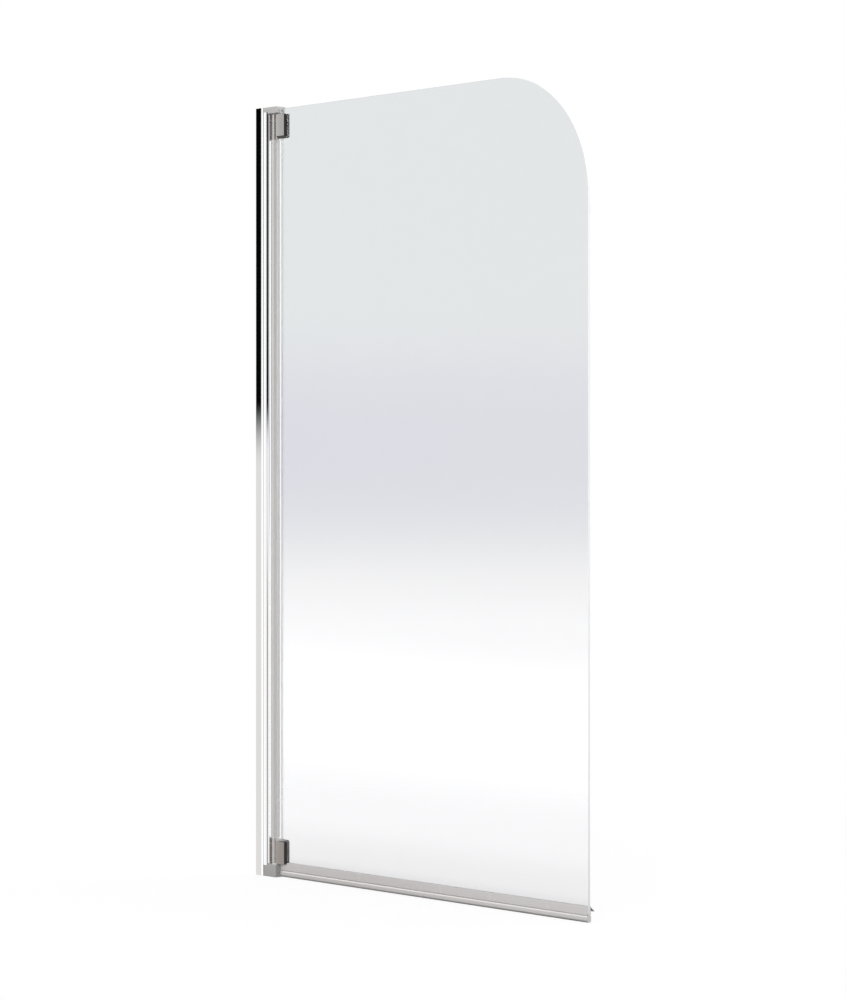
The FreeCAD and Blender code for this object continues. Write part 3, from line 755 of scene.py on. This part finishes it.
# ---------------------------------------------------------------- post
@dataclass
class Post:
    """Telescoping profile with its end caps, cap screws and pivot pins."""

    nose_start: float = 22.2 * MM
    wall: float = 1.4 * MM
    shoulder: float = 7.5 * MM
    nose_edge: float = 0.12 * MM
    leg_wall: float = 1.3 * MM
    leg_outer: float = 10.5 * MM
    port: float = 3.6 * MM
    port_bore: float = 2.1 * MM
    port_y: float = 7.2 * MM
    slot_half: float = 2.0 * MM
    travel: float = 10.0 * MM
    cap_gap: float = 0.3 * MM
    cap_edge: float = 0.8 * MM
    pin_hole: float = 3.02 * MM
    pin_reach: float = 9.0 * MM
    screw_head: float = 3.6 * MM
    screw_shank: float = 2.05 * MM
    screw_fit: float = 0.05 * MM
    recess: tuple[float, float] = (1.9 * MM, 1.3 * MM)
    tongue_fit: float = 0.2 * MM

    def build(self) -> None:
        """Make and dress every piece of the post."""
        self.low, self.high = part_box("pivot_profile")
        self.port_x = (self.nose_start + self.high.x) / 2
        self.profile()
        self.top_cap()
        self.bottom_cap()
        self.cap_screws()
        dress("top_pin", PLAIN_STEEL)
        dress("bottom_pin", PLAIN_STEEL)
        dress("thrust_washer", ACETAL)

    def profile(self) -> None:
        """Hollow nose with round shoulders, two screw ports and two sliding legs."""
        half, end, start = self.high.y, self.high.x, self.nose_start
        foot, rise = self.low.z, ALONG_Z * (self.high.z - self.low.z)
        nose = bar(level_corners((start, end), (-half, half), foot), rise,
                   {0: self.nose_edge, 1: self.shoulder, 2: self.shoulder,
                    3: self.nose_edge}, steps=18)
        inner = half - self.wall
        legs = [block(Vector((self.low.x, y, foot)),
                      Vector((start + self.wall / 2, y + self.leg_wall, self.high.z)))
                for y in (-self.leg_outer, self.leg_outer - self.leg_wall)]
        nose = combined(nose, legs, Cut.JOIN)
        margin = 5 * MM
        longer = rise + ALONG_Z * 2 * margin
        below = foot - margin
        room = bar(level_corners((start + self.wall, end - self.wall), (-inner, inner), below),
                   longer, dict.fromkeys((1, 2), self.shoulder - self.wall))
        nose = combined(nose, [room], Cut.REMOVE)
        sides = (-self.port_y, self.port_y)
        ports = [rod(Vector((self.port_x, y, foot)), rise, self.port) for y in sides]
        nose = combined(nose, ports, Cut.JOIN)
        bores = [rod(Vector((self.port_x, y, below)), longer, self.port_bore) for y in sides]
        nose = combined(nose, bores + self.slots(), Cut.REMOVE)
        piece(Label("post_extrusion", "post", "bright_profile", ("pivot_profile",)),
              nose, BRIGHT_ALUMINIUM)

    def slots(self) -> list[bmesh.types.BMesh]:
        """Cutters for the clamp screws' slots in the bath side leg."""
        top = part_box("wall_channel")[1]
        x1 = top.x - WallSide.clamp_inset + self.slot_half
        x0 = x1 - self.travel - 2 * self.slot_half
        y = self.leg_outer - 2 * self.leg_wall
        rounds = dict.fromkeys(range(4), self.slot_half * 0.98)
        return [bar(upright_corners((x0, x1), (z - self.slot_half, z + self.slot_half), y),
                    ALONG_Y * 3 * self.leg_wall, rounds, steps=8)
                for z in ladder(WallSide.clamp_margin, WallSide.clamp_count, top.z)]

    def cap_body(self, corners: Sequence[tuple[float, float]], low: Vector,
                 high: Vector) -> bmesh.types.BMesh:
        """Moulded cap from the corners of its side view.

        Args:
            corners: (x, z) of each corner.
            low: lowest corner of the cap's CAD node.
            high: highest corner of the cap's CAD node.

        Returns:
            The cap's mesh, with its edges eased.
        """
        section = [Vector((x, low.y, z)) for x, z in corners]
        shape = bar(section, ALONG_Y * (high.y - low.y))
        return eased(shape, self.cap_edge, steps=3)

    def top_cap(self) -> None:
        """Top end cap, deeper at the pivot."""
        low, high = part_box("top_cap")
        step_x = self.high.x + self.cap_gap
        shape = self.cap_body([(low.x, high.z), (high.x, high.z), (high.x, self.nose_foot()),
                               (step_x, self.nose_foot()), (step_x, self.high.z),
                               (low.x, self.high.z)], low, high)
        holes = [rod(Vector((middle_x("bottom_pin"), 0, self.nose_foot() - MM)),
                     ALONG_Z * (self.pin_reach + MM), self.pin_hole)]
        holes += self.screw_holes(high.z, -1, high.z - self.high.z)
        tongue = self.tongue(low.z, self.high.z + MM)
        shape = combined(combined(shape, [tongue], Cut.JOIN), holes, Cut.REMOVE)
        piece(Label("top_end_cap", "post", "grey_plastic", ("top_cap",)), shape, CAP_GREY)

    def bottom_cap(self) -> None:
        """Bottom end cap, which stands on the bath rim."""
        low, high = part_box("bottom_cap")
        step_x = self.high.x + self.cap_gap
        nose_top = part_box("thrust_washer")[0].z
        shape = self.cap_body([(low.x, low.z), (high.x, low.z), (high.x, nose_top),
                               (step_x, nose_top), (step_x, self.low.z), (low.x, self.low.z)],
                              low, high)
        pin_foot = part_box("bottom_pin")[0].z
        holes = [rod(Vector((middle_x("bottom_pin"), 0, pin_foot)),
                     ALONG_Z * (nose_top - pin_foot + MM), self.pin_hole)]
        holes += self.screw_holes(low.z, 1, self.low.z)
        tongue = self.tongue(self.low.z - MM, high.z)
        shape = combined(combined(shape, [tongue], Cut.JOIN), holes, Cut.REMOVE)
        piece(Label("bottom_end_cap", "post", "grey_plastic", ("bottom_cap",)), shape, CAP_GREY)

    def nose_foot(self) -> float:
        """Height of the underside of the top cap's nose."""
        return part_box("top_pin")[1].z - self.pin_reach

    def tongue(self, foot: float, top: float) -> bmesh.types.BMesh:
        """Tongue that locates a cap between the profile's screw ports."""
        fit = self.tongue_fit
        half = self.port_y - self.port - fit
        return block(Vector((self.nose_start + self.wall + fit, -half, foot)),
                     Vector((self.high.x - self.wall - fit, half, top)))

    def screw_holes(self, face: float, way: int, deep: float) -> list[bmesh.types.BMesh]:
        """Cutters for a cap's two countersunk holes.

        Args:
            face: height of the cap's outer face.
            way: 1 for screws that point up, -1 for screws that point down.
            deep: thickness of the cap there.

        Returns:
            The cutters.
        """
        return [countersink(Vector((self.port_x, y, face)), ALONG_Z * way,
                            self.screw_head + self.screw_fit, self.screw_shank + self.screw_fit,
                            deep + MM) for y in (-self.port_y, self.port_y)]

    def cap_screws(self) -> None:
        """Countersunk cross recess screws of both caps."""
        for end, way in (("top", -1), ("bottom", 1)):
            low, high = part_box(end + "_cap_screws")
            face = high.z if way < 0 else low.z
            shape = bmesh.new()
            for y in (-self.port_y, self.port_y):
                top = Vector((self.port_x, y, face))
                screw = flat_screw(top, ALONG_Z * way, self.screw_head, self.screw_shank,
                                   high.z - low.z)
                recess = cross_recess(top, ALONG_Z * way, *self.recess)
                gather(shape, combined(screw, [recess], Cut.REMOVE))
            piece(Label(end + "_cap_fixings", "post", "steel", (end + "_cap_screws",)), shape,
                  PLAIN_STEEL)


# ---------------------------------------------------------------- hinges
class End(Enum):
    """Which end of the pane a hinge is on, and the way its bush goes in."""

    TOP = ("top", -1)
    BOTTOM = ("bottom", 1)

    @property
    def label(self) -> str:
        """Name of the end."""
        return self.value[0]

    @property
    def way(self) -> int:
        """1 where the middle of the pane is above the hinge, -1 where it is below."""
        return self.value[1]


@dataclass
class Hinge:
    """Barrel, leaf, front plate and clamp screws at one end of the pane."""

    end: End
    barrel: float = 6.4 * MM
    barrel_edge: float = 0.5 * MM
    bevel: float = 4.4 * MM
    corner: float = 5.0 * MM
    edge: float = 0.3 * MM
    bush: float = 4.57 * MM
    bush_depth: float = 19.02 * MM
    screw_head: float = 4.7 * MM
    screw_shank: float = 2.5 * MM
    screw_fit: float = 0.1 * MM
    blind: float = 3.6 * MM
    blind_fit: float = 0.05 * MM
    socket: float = 1.9 * MM
    socket_depth: float = 1.8 * MM
    glass_gap: float = 0.7 * MM
    neck_gap: float = 0.3 * MM

    def build(self) -> None:
        """Make and dress this hinge."""
        name = self.end.label
        self.plate_low, self.plate_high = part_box(name + "_front_plate")
        self.low, self.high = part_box(name + "_hinge")
        self.pivot_x = middle_x(name + "_pin")
        self.screw_x = middle_x(name + "_clamp_screws")
        self.screw_heights = self.clamps(self.end)
        self.casting()
        self.front_plate()
        self.clamp_screws()
        for side in ("front", "back"):
            dress(f"{name}_{side}_gasket", GASKET)
        dress(name + "_bush", ACETAL)

    @classmethod
    def clamps(cls, end: End) -> list[float]:
        """Heights of the two clamp screws at one end of the pane."""
        low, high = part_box(end.label + "_clamp_screws")
        return [low.z + cls.screw_head, high.z - cls.screw_head]

    def plate(self, side: int) -> bmesh.types.BMesh:
        """Clamp plate with bevels on its free edge and its inner edge.

        Args:
            side: -1 for the room side, 1 for the bath side.

        Returns:
            The plate's mesh.
        """
        low, high = self.plate_low, self.plate_high
        inner, outer = -high.y, -low.y
        shape = bar(upright_corners((low.x, high.x), (low.z, high.z), side * inner),
                    ALONG_Y * side * (outer - inner), dict.fromkeys((1, 2), self.corner),
                    steps=10)
        free = Vector((high.x - self.bevel, side * outer, 0))
        sliced(shape, free, Vector((1, side, 0)).normalized())
        z = (high.z if self.end.way > 0 else low.z) - self.end.way * self.bevel
        middle = Vector((0, side * outer, z))
        sliced(shape, middle, Vector((0, side, self.end.way)).normalized())
        return shape

    def casting(self) -> None:
        """Barrel, neck and bath side leaf in one piece, with its bush bore."""
        barrel = rod(Vector((self.pivot_x, 0, self.low.z)),
                     ALONG_Z * (self.high.z - self.low.z), self.barrel, steps=72)
        eased(barrel, self.barrel_edge, steps=3)
        glass_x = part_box("glass_panel")[0].x
        neck = block(Vector((self.pivot_x + self.neck_gap, self.plate_high.y, self.plate_low.z)),
                     Vector((glass_x - self.glass_gap, self.high.y, self.plate_high.z)))
        leaf = eased(self.plate(1), self.edge)
        shape = combined(barrel, [eased(neck, self.edge), leaf], Cut.JOIN)
        mouth = self.low.z if self.end.way > 0 else self.high.z
        start = Vector((self.pivot_x, 0, mouth - self.end.way * MM))
        cuts = [rod(start, ALONG_Z * self.end.way * (self.bush_depth + MM), self.bush)]
        cuts += [countersink(Vector((self.screw_x, self.high.y, z)), -ALONG_Y,
                             self.screw_head + self.screw_fit, self.screw_shank + self.screw_fit,
                             6 * MM) for z in self.screw_heights]
        shape = combined(shape, cuts, Cut.REMOVE)
        name = self.end.label
        piece(Label(name + "_hinge_casting", "screen", "chrome_fitting", (name + "_hinge",)),
              shape, SATIN_CHROME)

    def front_plate(self) -> None:
        """Room side plate with blind holes for the clamp screws."""
        shape = eased(self.plate(-1), self.edge)
        holes = [rod(Vector((self.screw_x, self.plate_high.y + MM, z)),
                     -ALONG_Y * (self.blind + MM), self.screw_shank + self.blind_fit)
                 for z in self.screw_heights]
        shape = combined(shape, holes, Cut.REMOVE)
        name = self.end.label
        piece(Label(name + "_room_plate", "screen", "chrome_fitting", (name + "_front_plate",)),
              shape, POLISHED_CHROME)

    def clamp_screws(self) -> None:
        """Countersunk hexagon socket screws, put in from the bath side."""
        name = self.end.label
        low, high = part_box(name + "_clamp_screws")
        shape = bmesh.new()
        for z in self.screw_heights:
            face = Vector((self.screw_x, high.y, z))
            screw = flat_screw(face, -ALONG_Y, self.screw_head, self.screw_shank,
                               high.y - low.y)
            socket = rod(face + ALONG_Y * MM, -ALONG_Y * (self.socket_depth + MM), self.socket,
                         steps=6)
            gather(shape, combined(screw, [socket], Cut.REMOVE))
        piece(Label(name + "_clamp_fixings", "screen", "steel", (name + "_clamp_screws",)),
              shape, PLAIN_STEEL)


# ---------------------------------------------------------------- pane
@dataclass
class Pane:
    """Toughened glass pane with one round top corner."""

    corner: float = 206 * MM
    corner_steps: int = 72
    arris: float = 0.4 * MM
    hole: float = 5.0 * MM

    def build(self) -> None:
        """Make the pane and dress the sleeves in its holes."""
        low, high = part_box("glass_panel")
        shape = bar(upright_corners((low.x, high.x), (low.z, high.z), low.y),
                    ALONG_Y * (high.y - low.y), {2: self.corner}, steps=self.corner_steps)
        eased(shape, self.arris, steps=2, wanted=lambda edge: abs(
            (edge.verts[0].co - edge.verts[1].co).y) < self.arris)
        x = middle_x("glass_sleeves")
        holes = [rod(Vector((x, low.y * 2, z)), ALONG_Y * (high.y - low.y) * 2, self.hole)
                 for end in End for z in Hinge.clamps(end)]
        shape = combined(shape, holes, Cut.REMOVE)
        pane = piece(Label("glass_pane", "screen", "clear_glass", ("glass_panel",)), shape,
                     PANE_GLASS)
        second_finish(pane, GLASS_EDGE, lambda face: abs(face.normal.y) < 0.9)
        dress("glass_sleeves", ACETAL)


# ---------------------------------------------------------------- seals
@dataclass
class Seals:
    """Bulb seal beside the post and drip seal under the pane."""

    bulb_wall: float = 1.0 * MM
    lip: float = 1.4 * MM
    fit: float = 0.1 * MM
    drip_wall: float = 1.2 * MM
    drip_half: float = 4.5 * MM
    tube_end: float = 1.5 * MM
    fin: float = 1.0 * MM
    fin_drop: float = 1.2 * MM
    fin_fall: float = 6.5 * MM
    fin_lip: float = 2.0 * MM
    neck: float = 2.2 * MM
    plate_gap: float = 0.5 * MM

    def build(self) -> None:
        """Make both seals."""
        self.glass_low, self.glass_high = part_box("glass_panel")
        self.slot = self.glass_high.y + self.fit
        self.upright()
        self.drip()

    def upright(self) -> None:
        """Bulb on the pivot line, with two legs that grip the glass."""
        low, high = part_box("vertical_seal")
        pivot = Vector((middle_x("bottom_pin"), 0, low.z))
        rise = ALONG_Z * (high.z - low.z)
        radius = high.y
        half = self.slot + self.lip
        web_end = self.glass_low.x - self.fit
        legs = bar(level_corners((pivot.x, high.x), (-half, half), low.z), rise,
                   dict.fromkeys((1, 2), self.lip * 0.8), steps=5)
        shape = combined(rod(pivot, rise, radius, steps=72), [legs], Cut.JOIN)
        longer = rise + ALONG_Z * 2 * MM
        start = pivot - ALONG_Z * MM
        foot, top = start.z, high.z + MM
        cuts = [rod(start, longer, radius - self.bulb_wall, steps=64),
                block(Vector((pivot.x + radius, self.lip - half, foot)),
                      Vector((web_end - self.lip, half - self.lip, top))),
                block(Vector((web_end, -self.slot, foot)),
                      Vector((high.x + MM, self.slot, top)))]
        shape = combined(shape, cuts, Cut.REMOVE)
        seal = piece(Label("bulb_seal", "screen", "clear_seal", ("vertical_seal",)), shape,
                     SOFT_PVC)
        second_finish(seal, CLIP_PVC, lambda face: face.center.x > pivot.x + radius)
        seal.visible_glossy = False

    def drip(self) -> None:
        """Clip, hollow tube and drip fin under the pane, cut back below the hinge."""
        low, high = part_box("bottom_seal")
        reach = ALONG_X * (high.x - low.x)
        body = self.slot + self.drip_wall
        web_top = self.glass_low.z - self.fit
        web_foot = web_top - self.drip_wall
        foot, r = low.z, self.drip_half
        clip = self.run([(-body, high.z), (-body, web_foot), (body, web_foot), (body, high.z),
                         (self.slot, high.z), (self.slot, web_top), (-self.slot, web_top),
                         (-self.slot, high.z)], low.x, reach,
                        {0: 0.5 * MM, 3: 0.3 * MM, 4: 0.3 * MM, 7: 0.3 * MM})
        neck = self.run([(-self.neck, foot + r), (self.neck, foot + r),
                         (self.neck, web_top), (-self.neck, web_top)], low.x, reach, {})
        tube = self.run([(-r, web_foot), (-r, foot), (r, foot), (r, web_foot)], low.x, reach,
                        dict.fromkeys(range(4), r * 0.98), steps=10)
        finned = self.fin_bar(high, low.x, reach, body)
        shape = combined(clip, [neck, tube, finned], Cut.JOIN)
        inner = r - self.drip_wall
        beyond = reach - ALONG_X * self.tube_end
        ceiling = web_foot - self.drip_wall
        hollow = self.run([(-inner, ceiling), (-inner, foot + self.drip_wall),
                           (inner, foot + self.drip_wall), (inner, ceiling)], low.x - MM, beyond,
                          dict.fromkeys(range(4), inner * 0.98), steps=10)
        plate_low, plate_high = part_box("bottom_front_plate")
        wide = 20 * MM
        far = Vector((plate_high.x + self.plate_gap, wide, high.z + wide))
        room = block(Vector((low.x - MM, -wide, plate_low.z - self.plate_gap)), far)
        fin_room = block(Vector((low.x - MM, body, foot - MM)), far)
        shape = combined(shape, [hollow, room, fin_room], Cut.REMOVE)
        piece(Label("drip_seal", "screen", "clear_seal", ("bottom_seal",)), shape, DRIP_PVC)

    def fin_bar(self, high: Vector, start: float, reach: Vector,
                body: float) -> bmesh.types.BMesh:
        """Drip fin on the bath side, with its turned-down lip."""
        top = high.z - self.fin_drop
        tip = high.y
        low = top - self.fin_fall
        slope = math.atan2(self.fin_fall, tip - body)
        below = self.fin / math.cos(slope)
        corners = [(body - self.fit, top), (tip, low), (tip, low - self.fin_lip),
                   (tip - self.fin, low - self.fin_lip),
                   (tip - self.fin, low - below + self.fin * math.tan(slope)),
                   (body - self.fit, top - below)]
        return self.run(corners, start, reach, {1: 0.8 * MM, 2: 0.3 * MM, 3: 0.3 * MM}, steps=5)

    def run(self, corners: Sequence[tuple[float, float]], start: float, reach: Vector,
            rounds: dict[int, float], steps: int = 5) -> bmesh.types.BMesh:
        """Bar along the pane's foot.

        Args:
            corners: (y, z) of each corner of its section.
            start: x of its first end.
            reach: direction and length.
            rounds: radius for each corner to round.
            steps: facets in each rounded corner.

        Returns:
            The bar's mesh.
        """
        return bar([Vector((start, y, z)) for y, z in corners], reach, rounds, steps)


# ---------------------------------------------------------------- studio
NADIR, ZENITH = -1.1, 1.1
ALL_ROUND = 181


@dataclass(frozen=True)
class Card:
    """Patch of the studio's surround that shiny surfaces see.

    Args:
        azimuth: middle of the patch, in degrees from +X towards +Y.
        half: half its width, in degrees, or ALL_ROUND.
        soft: how far its upright edges fade, in degrees.
        low: sine of the elevation of its lower edge.
        high: sine of the elevation of its upper edge.
        fade: how far its level edges fade.
        colour: its colour, where 1 is white.
    """

    azimuth: float
    half: float
    soft: float
    low: float
    high: float
    fade: float
    colour: Colour


@dataclass
class Studio:
    """Pale floor, soft lamps and the surround that glass and metal reflect."""

    metal_tone: Colour = (1.17, 1.175, 1.18)
    metal_cards: tuple[Card, ...] = (
        # bath side, for views from behind and straight ahead
        Card(95, 45, 4.0, NADIR, ZENITH, 0.05, grey(0.66)),
        Card(112, 9, 1.5, NADIR, 0.5, 0.05, grey(0.10)),
        Card(72, 6, 1.5, NADIR, 0.5, 0.05, grey(1.1)),
        Card(268.5, 6.5, 2.5, NADIR, ZENITH, 0.05, grey(0.78)),
        # what the channel's front sees: pale below, black above
        Card(190, 26.84, 0.4, NADIR, 0.013, 0.011, (0.84, 0.83, 0.81)),
        Card(190, 26.84, 0.4, 0.013, 0.32, 0.011, grey(0.002)),
        # what the nose's round and the hinges' bevels see
        Card(314, 32, 1.5, 0.013, 0.32, 0.011, (0.02, 0.018, 0.016)),
        Card(314, 30, 8.0, NADIR, 0.013, 0.011, (0.9, 0.89, 0.87)),
        Card(309, 8, 2.5, -0.25, -0.03, 0.02, (0.085, 0.08, 0.078)),
        Card(309, 8, 2.5, 0.05, 0.25, 0.02, (0.085, 0.08, 0.078)),
        # what the hinge plates see
        Card(220.675, 1.5, 0.03, 0.0, 0.8, 0.02, grey(0.92)),
        Card(220.6, 1.5, 0.03, -0.62, 0.0, 0.02, (0.70, 0.66, 0.63)),
        # the floor, for views from above
        Card(0, ALL_ROUND, 0, NADIR, -0.17, 0.02, grey(0.72)),
        Card(45, 12, 10.0, NADIR, -0.17, 0.02, grey(0.5)),
        Card(225, 12, 10.0, NADIR, -0.17, 0.02, grey(0.55)),
        Card(0, ALL_ROUND, 0, NADIR, -0.45, 0.12, (0.2, 0.195, 0.19)),
        # lamp and dark bar in the drip seal's tube
        Card(212, 15, 3.0, 0.2, 0.54, 0.05, (2.3, 2.25, 2.2)),
        Card(189, 9, 3.0, 0.56, 0.75, 0.04, (0.25, 0.24, 0.235)),
    )
    glass_tone: Colour = (0.94, 1.35, 1.37)
    glass_cards: tuple[Card, ...] = (
        Card(0, ALL_ROUND, 0, NADIR, -0.015, 0.02, grey(1.9)),
        Card(0, ALL_ROUND, 0, -0.015, 0.035, 0.02, (0.05, 0.0, 0.9)),
    )
    field_turn: float = 0.1
    field_floor: float = 1.19
    field_low: float = 1.3
    field_high: float = 0.5
    floor_line: tuple[float, float] = (-0.14, -0.1)
    level_line: tuple[float, float] = (-0.074, -0.008)
    high_line: tuple[float, float] = (0.3, 0.7)
    diffuse: float = 0.85
    floor_size: float = 14.0
    floor_drop: float = 0.6 * MM
    floor_tone: float = 0.9
    # painted shade: the floor's albedo for bounce light goes from black close beside the screen
    # to grey further out
    painted_shade_band: tuple[float, float] = (0.012, 0.12)
    painted_shade_bounce: tuple[float, float] = (0.0, 0.45)
    glow_middle: tuple[float, ...] = (0.05, 0.26, 0.80, 1.0)
    glow_bands: tuple[tuple[float, float, float], ...] = (
        (0.05, 0.26, 0.07), (0.26, 0.7, 0.115), (0.9, 2.0, 0.115), (3.2, 6.5, -0.11))
    shadow_share: float = 0.12
    shadow_band: tuple[float, float] = (0.2, 1.6)
    lamp_size: float = 2.4
    lamp_target: tuple[float, float, float] = (0.4, 0, 0.7)

    def build(self) -> None:
        """Make the surround, the floor and the lamps."""
        self.surround()
        self.floor()
        self.lamp("key_lamp", Vector((2.6, -3.4, 3.2)), 110.0)
        self.lamp("fill_lamp", Vector((2.4, 3.2, 2.6)), 60.0)
        bpy.context.scene.view_settings.view_transform = "Standard"

    def surround(self) -> None:
        """White for the camera, cards for metal and sharp glass, white behind the glass."""
        world = bpy.data.worlds.new("studio")
        bpy.context.scene.world = world
        world.use_nodes = True
        sheet = Sheet(world.node_tree)
        way = sheet.add("ShaderNodeTexCoord").outputs["Generated"]
        height = sheet.add("ShaderNodeSeparateXYZ", {0: way}).outputs[2]
        level = sheet.add("ShaderNodeVectorMath", {0: way, 1: (1, 1, 0)}, operation="MULTIPLY")
        flat = sheet.add("ShaderNodeVectorMath", {0: level.outputs[0]},
                         operation="NORMALIZE").outputs[0]
        white = opaque(grey(1.0))
        metal = self.painted(sheet, self.metal_tone, self.metal_cards, height, flat)
        glass = self.painted(sheet, self.glass_tone, self.glass_cards, height, flat)
        ahead = sheet.ramp(sheet.add("ShaderNodeSeparateXYZ", {0: flat}).outputs[1],
                           -self.field_turn, self.field_turn)
        bright = sheet.blend(sheet.ramp(height, *self.floor_line),
                             opaque(grey(self.field_floor)), opaque(grey(self.field_low)))
        low = sheet.blend(ahead, white, bright)
        field = sheet.blend(sheet.ramp(height, *self.level_line), low, white)
        field = sheet.blend(sheet.ramp(height, *self.high_line), field,
                            opaque(grey(self.field_high)))
        rays = sheet.add("ShaderNodeLightPath").outputs
        mirrored = sheet.maths("MULTIPLY", rays["Is Singular Ray"], rays["Is Reflection Ray"])
        seen = sheet.blend(rays["Is Glossy Ray"], opaque(grey(self.diffuse)), metal)
        seen = sheet.blend(rays["Is Transmission Ray"], seen, field)
        seen = sheet.blend(mirrored, seen, glass)
        seen = sheet.blend(rays["Is Camera Ray"], seen, white)
        light = sheet.add("ShaderNodeBackground", {"Color": seen, "Strength": 1.0})
        sheet.add("ShaderNodeOutputWorld", {"Surface": light.outputs[0]})

    def painted(self, sheet: Sheet, tone: Colour, cards: Sequence[Card],
                height: bpy.types.NodeSocket, flat: bpy.types.NodeSocket
                ) -> bpy.types.NodeSocket:
        """Surround of one tone with cards in front of it.

        Args:
            sheet: the surround's nodes.
            tone: colour where no card stands.
            cards: the cards, each in front of those before it.
            height: sine of the elevation.
            flat: level direction.

        Returns:
            The colour that is seen.
        """
        colour: object = opaque(tone)
        for card in cards:
            colour = sheet.blend(self.mask(sheet, card, height, flat), colour,
                                 opaque(card.colour))
        return colour

    def mask(self, sheet: Sheet, card: Card, height: bpy.types.NodeSocket,
             flat: bpy.types.NodeSocket) -> bpy.types.NodeSocket:
        """Where a card lies, from 0 to 1.

        Args:
            sheet: the surround's nodes.
            card: the card.
            height: sine of the elevation.
            flat: level direction.

        Returns:
            The mask.
        """
        tiny = 1e-5
        fade = card.fade + tiny
        rise = sheet.ramp(height, card.low - fade, card.low + fade)
        fall = sheet.ramp(height, card.high - fade, card.high + fade, 1.0, 0.0)
        inside = sheet.maths("MULTIPLY", rise, fall)
        if card.half == ALL_ROUND:
            return inside
        angle = math.radians(card.azimuth)
        facing = sheet.add("ShaderNodeVectorMath", {0: flat, 1: (math.cos(angle),
                                                                 math.sin(angle), 0)},
                           operation="DOT_PRODUCT")
        edge = sheet.ramp(facing.outputs["Value"], math.cos(math.radians(card.half + card.soft)),
                          math.cos(math.radians(card.half - card.soft)))
        return sheet.maths("MULTIPLY", inside, edge)

    def floor(self) -> None:
        """White floor that keeps a faint shadow near the screen."""
        bm = bmesh.new()
        bmesh.ops.create_grid(bm, x_segments=1, y_segments=1, size=self.floor_size / 2)
        bmesh.ops.translate(bm, verts=bm.verts[:], vec=-ALONG_Z * self.floor_drop)
        floor = placed("floor", poured("floor", bm))
        floor.data.materials.append(self.floor_paint())
        floor.visible_glossy = False

    def floor_paint(self) -> bpy.types.Material:
        """White that fades into the surround, with light and dark bands behind the glass, and a
        painted shade: close beside the screen the floor bounces no light.

        Returns:
            The material.
        """
        material = bpy.data.materials.new("floor_white")
        material.use_nodes = True
        sheet = Sheet(material.node_tree)
        rays = sheet.add("ShaderNodeLightPath").outputs
        place = sheet.add("ShaderNodeTexCoord").outputs["Object"]
        away = sheet.add("ShaderNodeVectorMath", {0: place}, operation="LENGTH").outputs["Value"]
        ahead = sheet.add("ShaderNodeSeparateXYZ", {0: place}).outputs[1]
        aside = sheet.maths("ABSOLUTE", ahead)
        # painted shade under the seals and caps: for bounce light the floor is black close
        # beside the screen
        painted_shade_bounce = sheet.ramp(aside, *self.painted_shade_band, *self.painted_shade_bounce)
        painted_shade_colour = sheet.add("ShaderNodeCombineColor", dict.fromkeys(range(3), painted_shade_bounce)).outputs[0]
        tone = sheet.blend(rays["Is Diffuse Ray"], opaque(grey(self.floor_tone)), painted_shade_colour)
        paint = sheet.add("ShaderNodeBsdfDiffuse", {"Color": tone})
        behind = sheet.ramp(aside, *self.glow_middle)
        for near, far, more in self.glow_bands:
            behind = sheet.maths("ADD", behind, sheet.ramp(ahead, near, far, 0.0, more))
        strength = sheet.maths("ADD", sheet.maths("MULTIPLY", rays["Is Transmission Ray"],
                                                  sheet.maths("SUBTRACT", behind, 1.0)), 1.0)
        glow = sheet.add("ShaderNodeEmission", {"Color": opaque(grey(1.0)),
                                                "Strength": strength})
        lit = sheet.ramp(away, *self.shadow_band, 1.0 - self.shadow_share, 1.0)
        seen = sheet.maths("MAXIMUM", rays["Is Camera Ray"], rays["Is Transmission Ray"])
        share = sheet.maths("MULTIPLY", lit, seen)
        mixed = sheet.add("ShaderNodeMixShader", {0: share, 1: paint.outputs[0],
                                                  2: glow.outputs[0]})
        sheet.add("ShaderNodeOutputMaterial", {"Surface": mixed.outputs[0]})
        return material

    def lamp(self, name: str, place: Vector, power: float) -> None:
        """Large soft lamp that points at the middle of the screen.

        Args:
            name: the lamp's name.
            place: where it stands.
            power: its power in watts.
        """
        light = bpy.data.lights.new(name, "AREA")
        light.size = self.lamp_size
        light.energy = power
        lamp = placed(name, light)
        lamp.location = place
        look = Vector(self.lamp_target) - place
        lamp.rotation_euler = look.to_track_quat("-Z", "Y").to_euler()
        lamp.visible_glossy = False
        lamp.visible_camera = False


@dataclass
class Viewpoint:
    """Camera at the photograph's viewing angle, level, with a long lens."""

    place: Vector = Vector((4.452826, -3.587947, 0.728064))
    yaw: float = math.radians(48.1675)
    lens: float = 112.27
    sensor: float = 36.0
    lift: float = -0.02365

    def build(self) -> None:
        """Make the camera and use it."""
        camera = bpy.data.cameras.new("camera")
        camera.lens = self.lens
        camera.sensor_width = self.sensor
        camera.sensor_fit = "AUTO"
        camera.shift_y = self.lift
        camera.clip_end = 200.0
        stand = placed("camera", camera)
        stand.location = self.place
        stand.rotation_euler = (math.pi / 2, 0, self.yaw)
        bpy.context.scene.camera = stand


def main() -> None:
    """Build the camera, the studio and every sub-assembly."""
    logging.basicConfig(level=logging.INFO, format="%(name)s: %(message)s", force=True)
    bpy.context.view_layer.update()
    Viewpoint().build()
    Studio().build()
    for assembly in (WallSide(), Post(), Hinge(End.TOP), Hinge(End.BOTTOM), Pane(), Seals()):
        log.info("building %s", type(assembly).__name__)
        assembly.build()


if __name__ == "__main__":
    main()
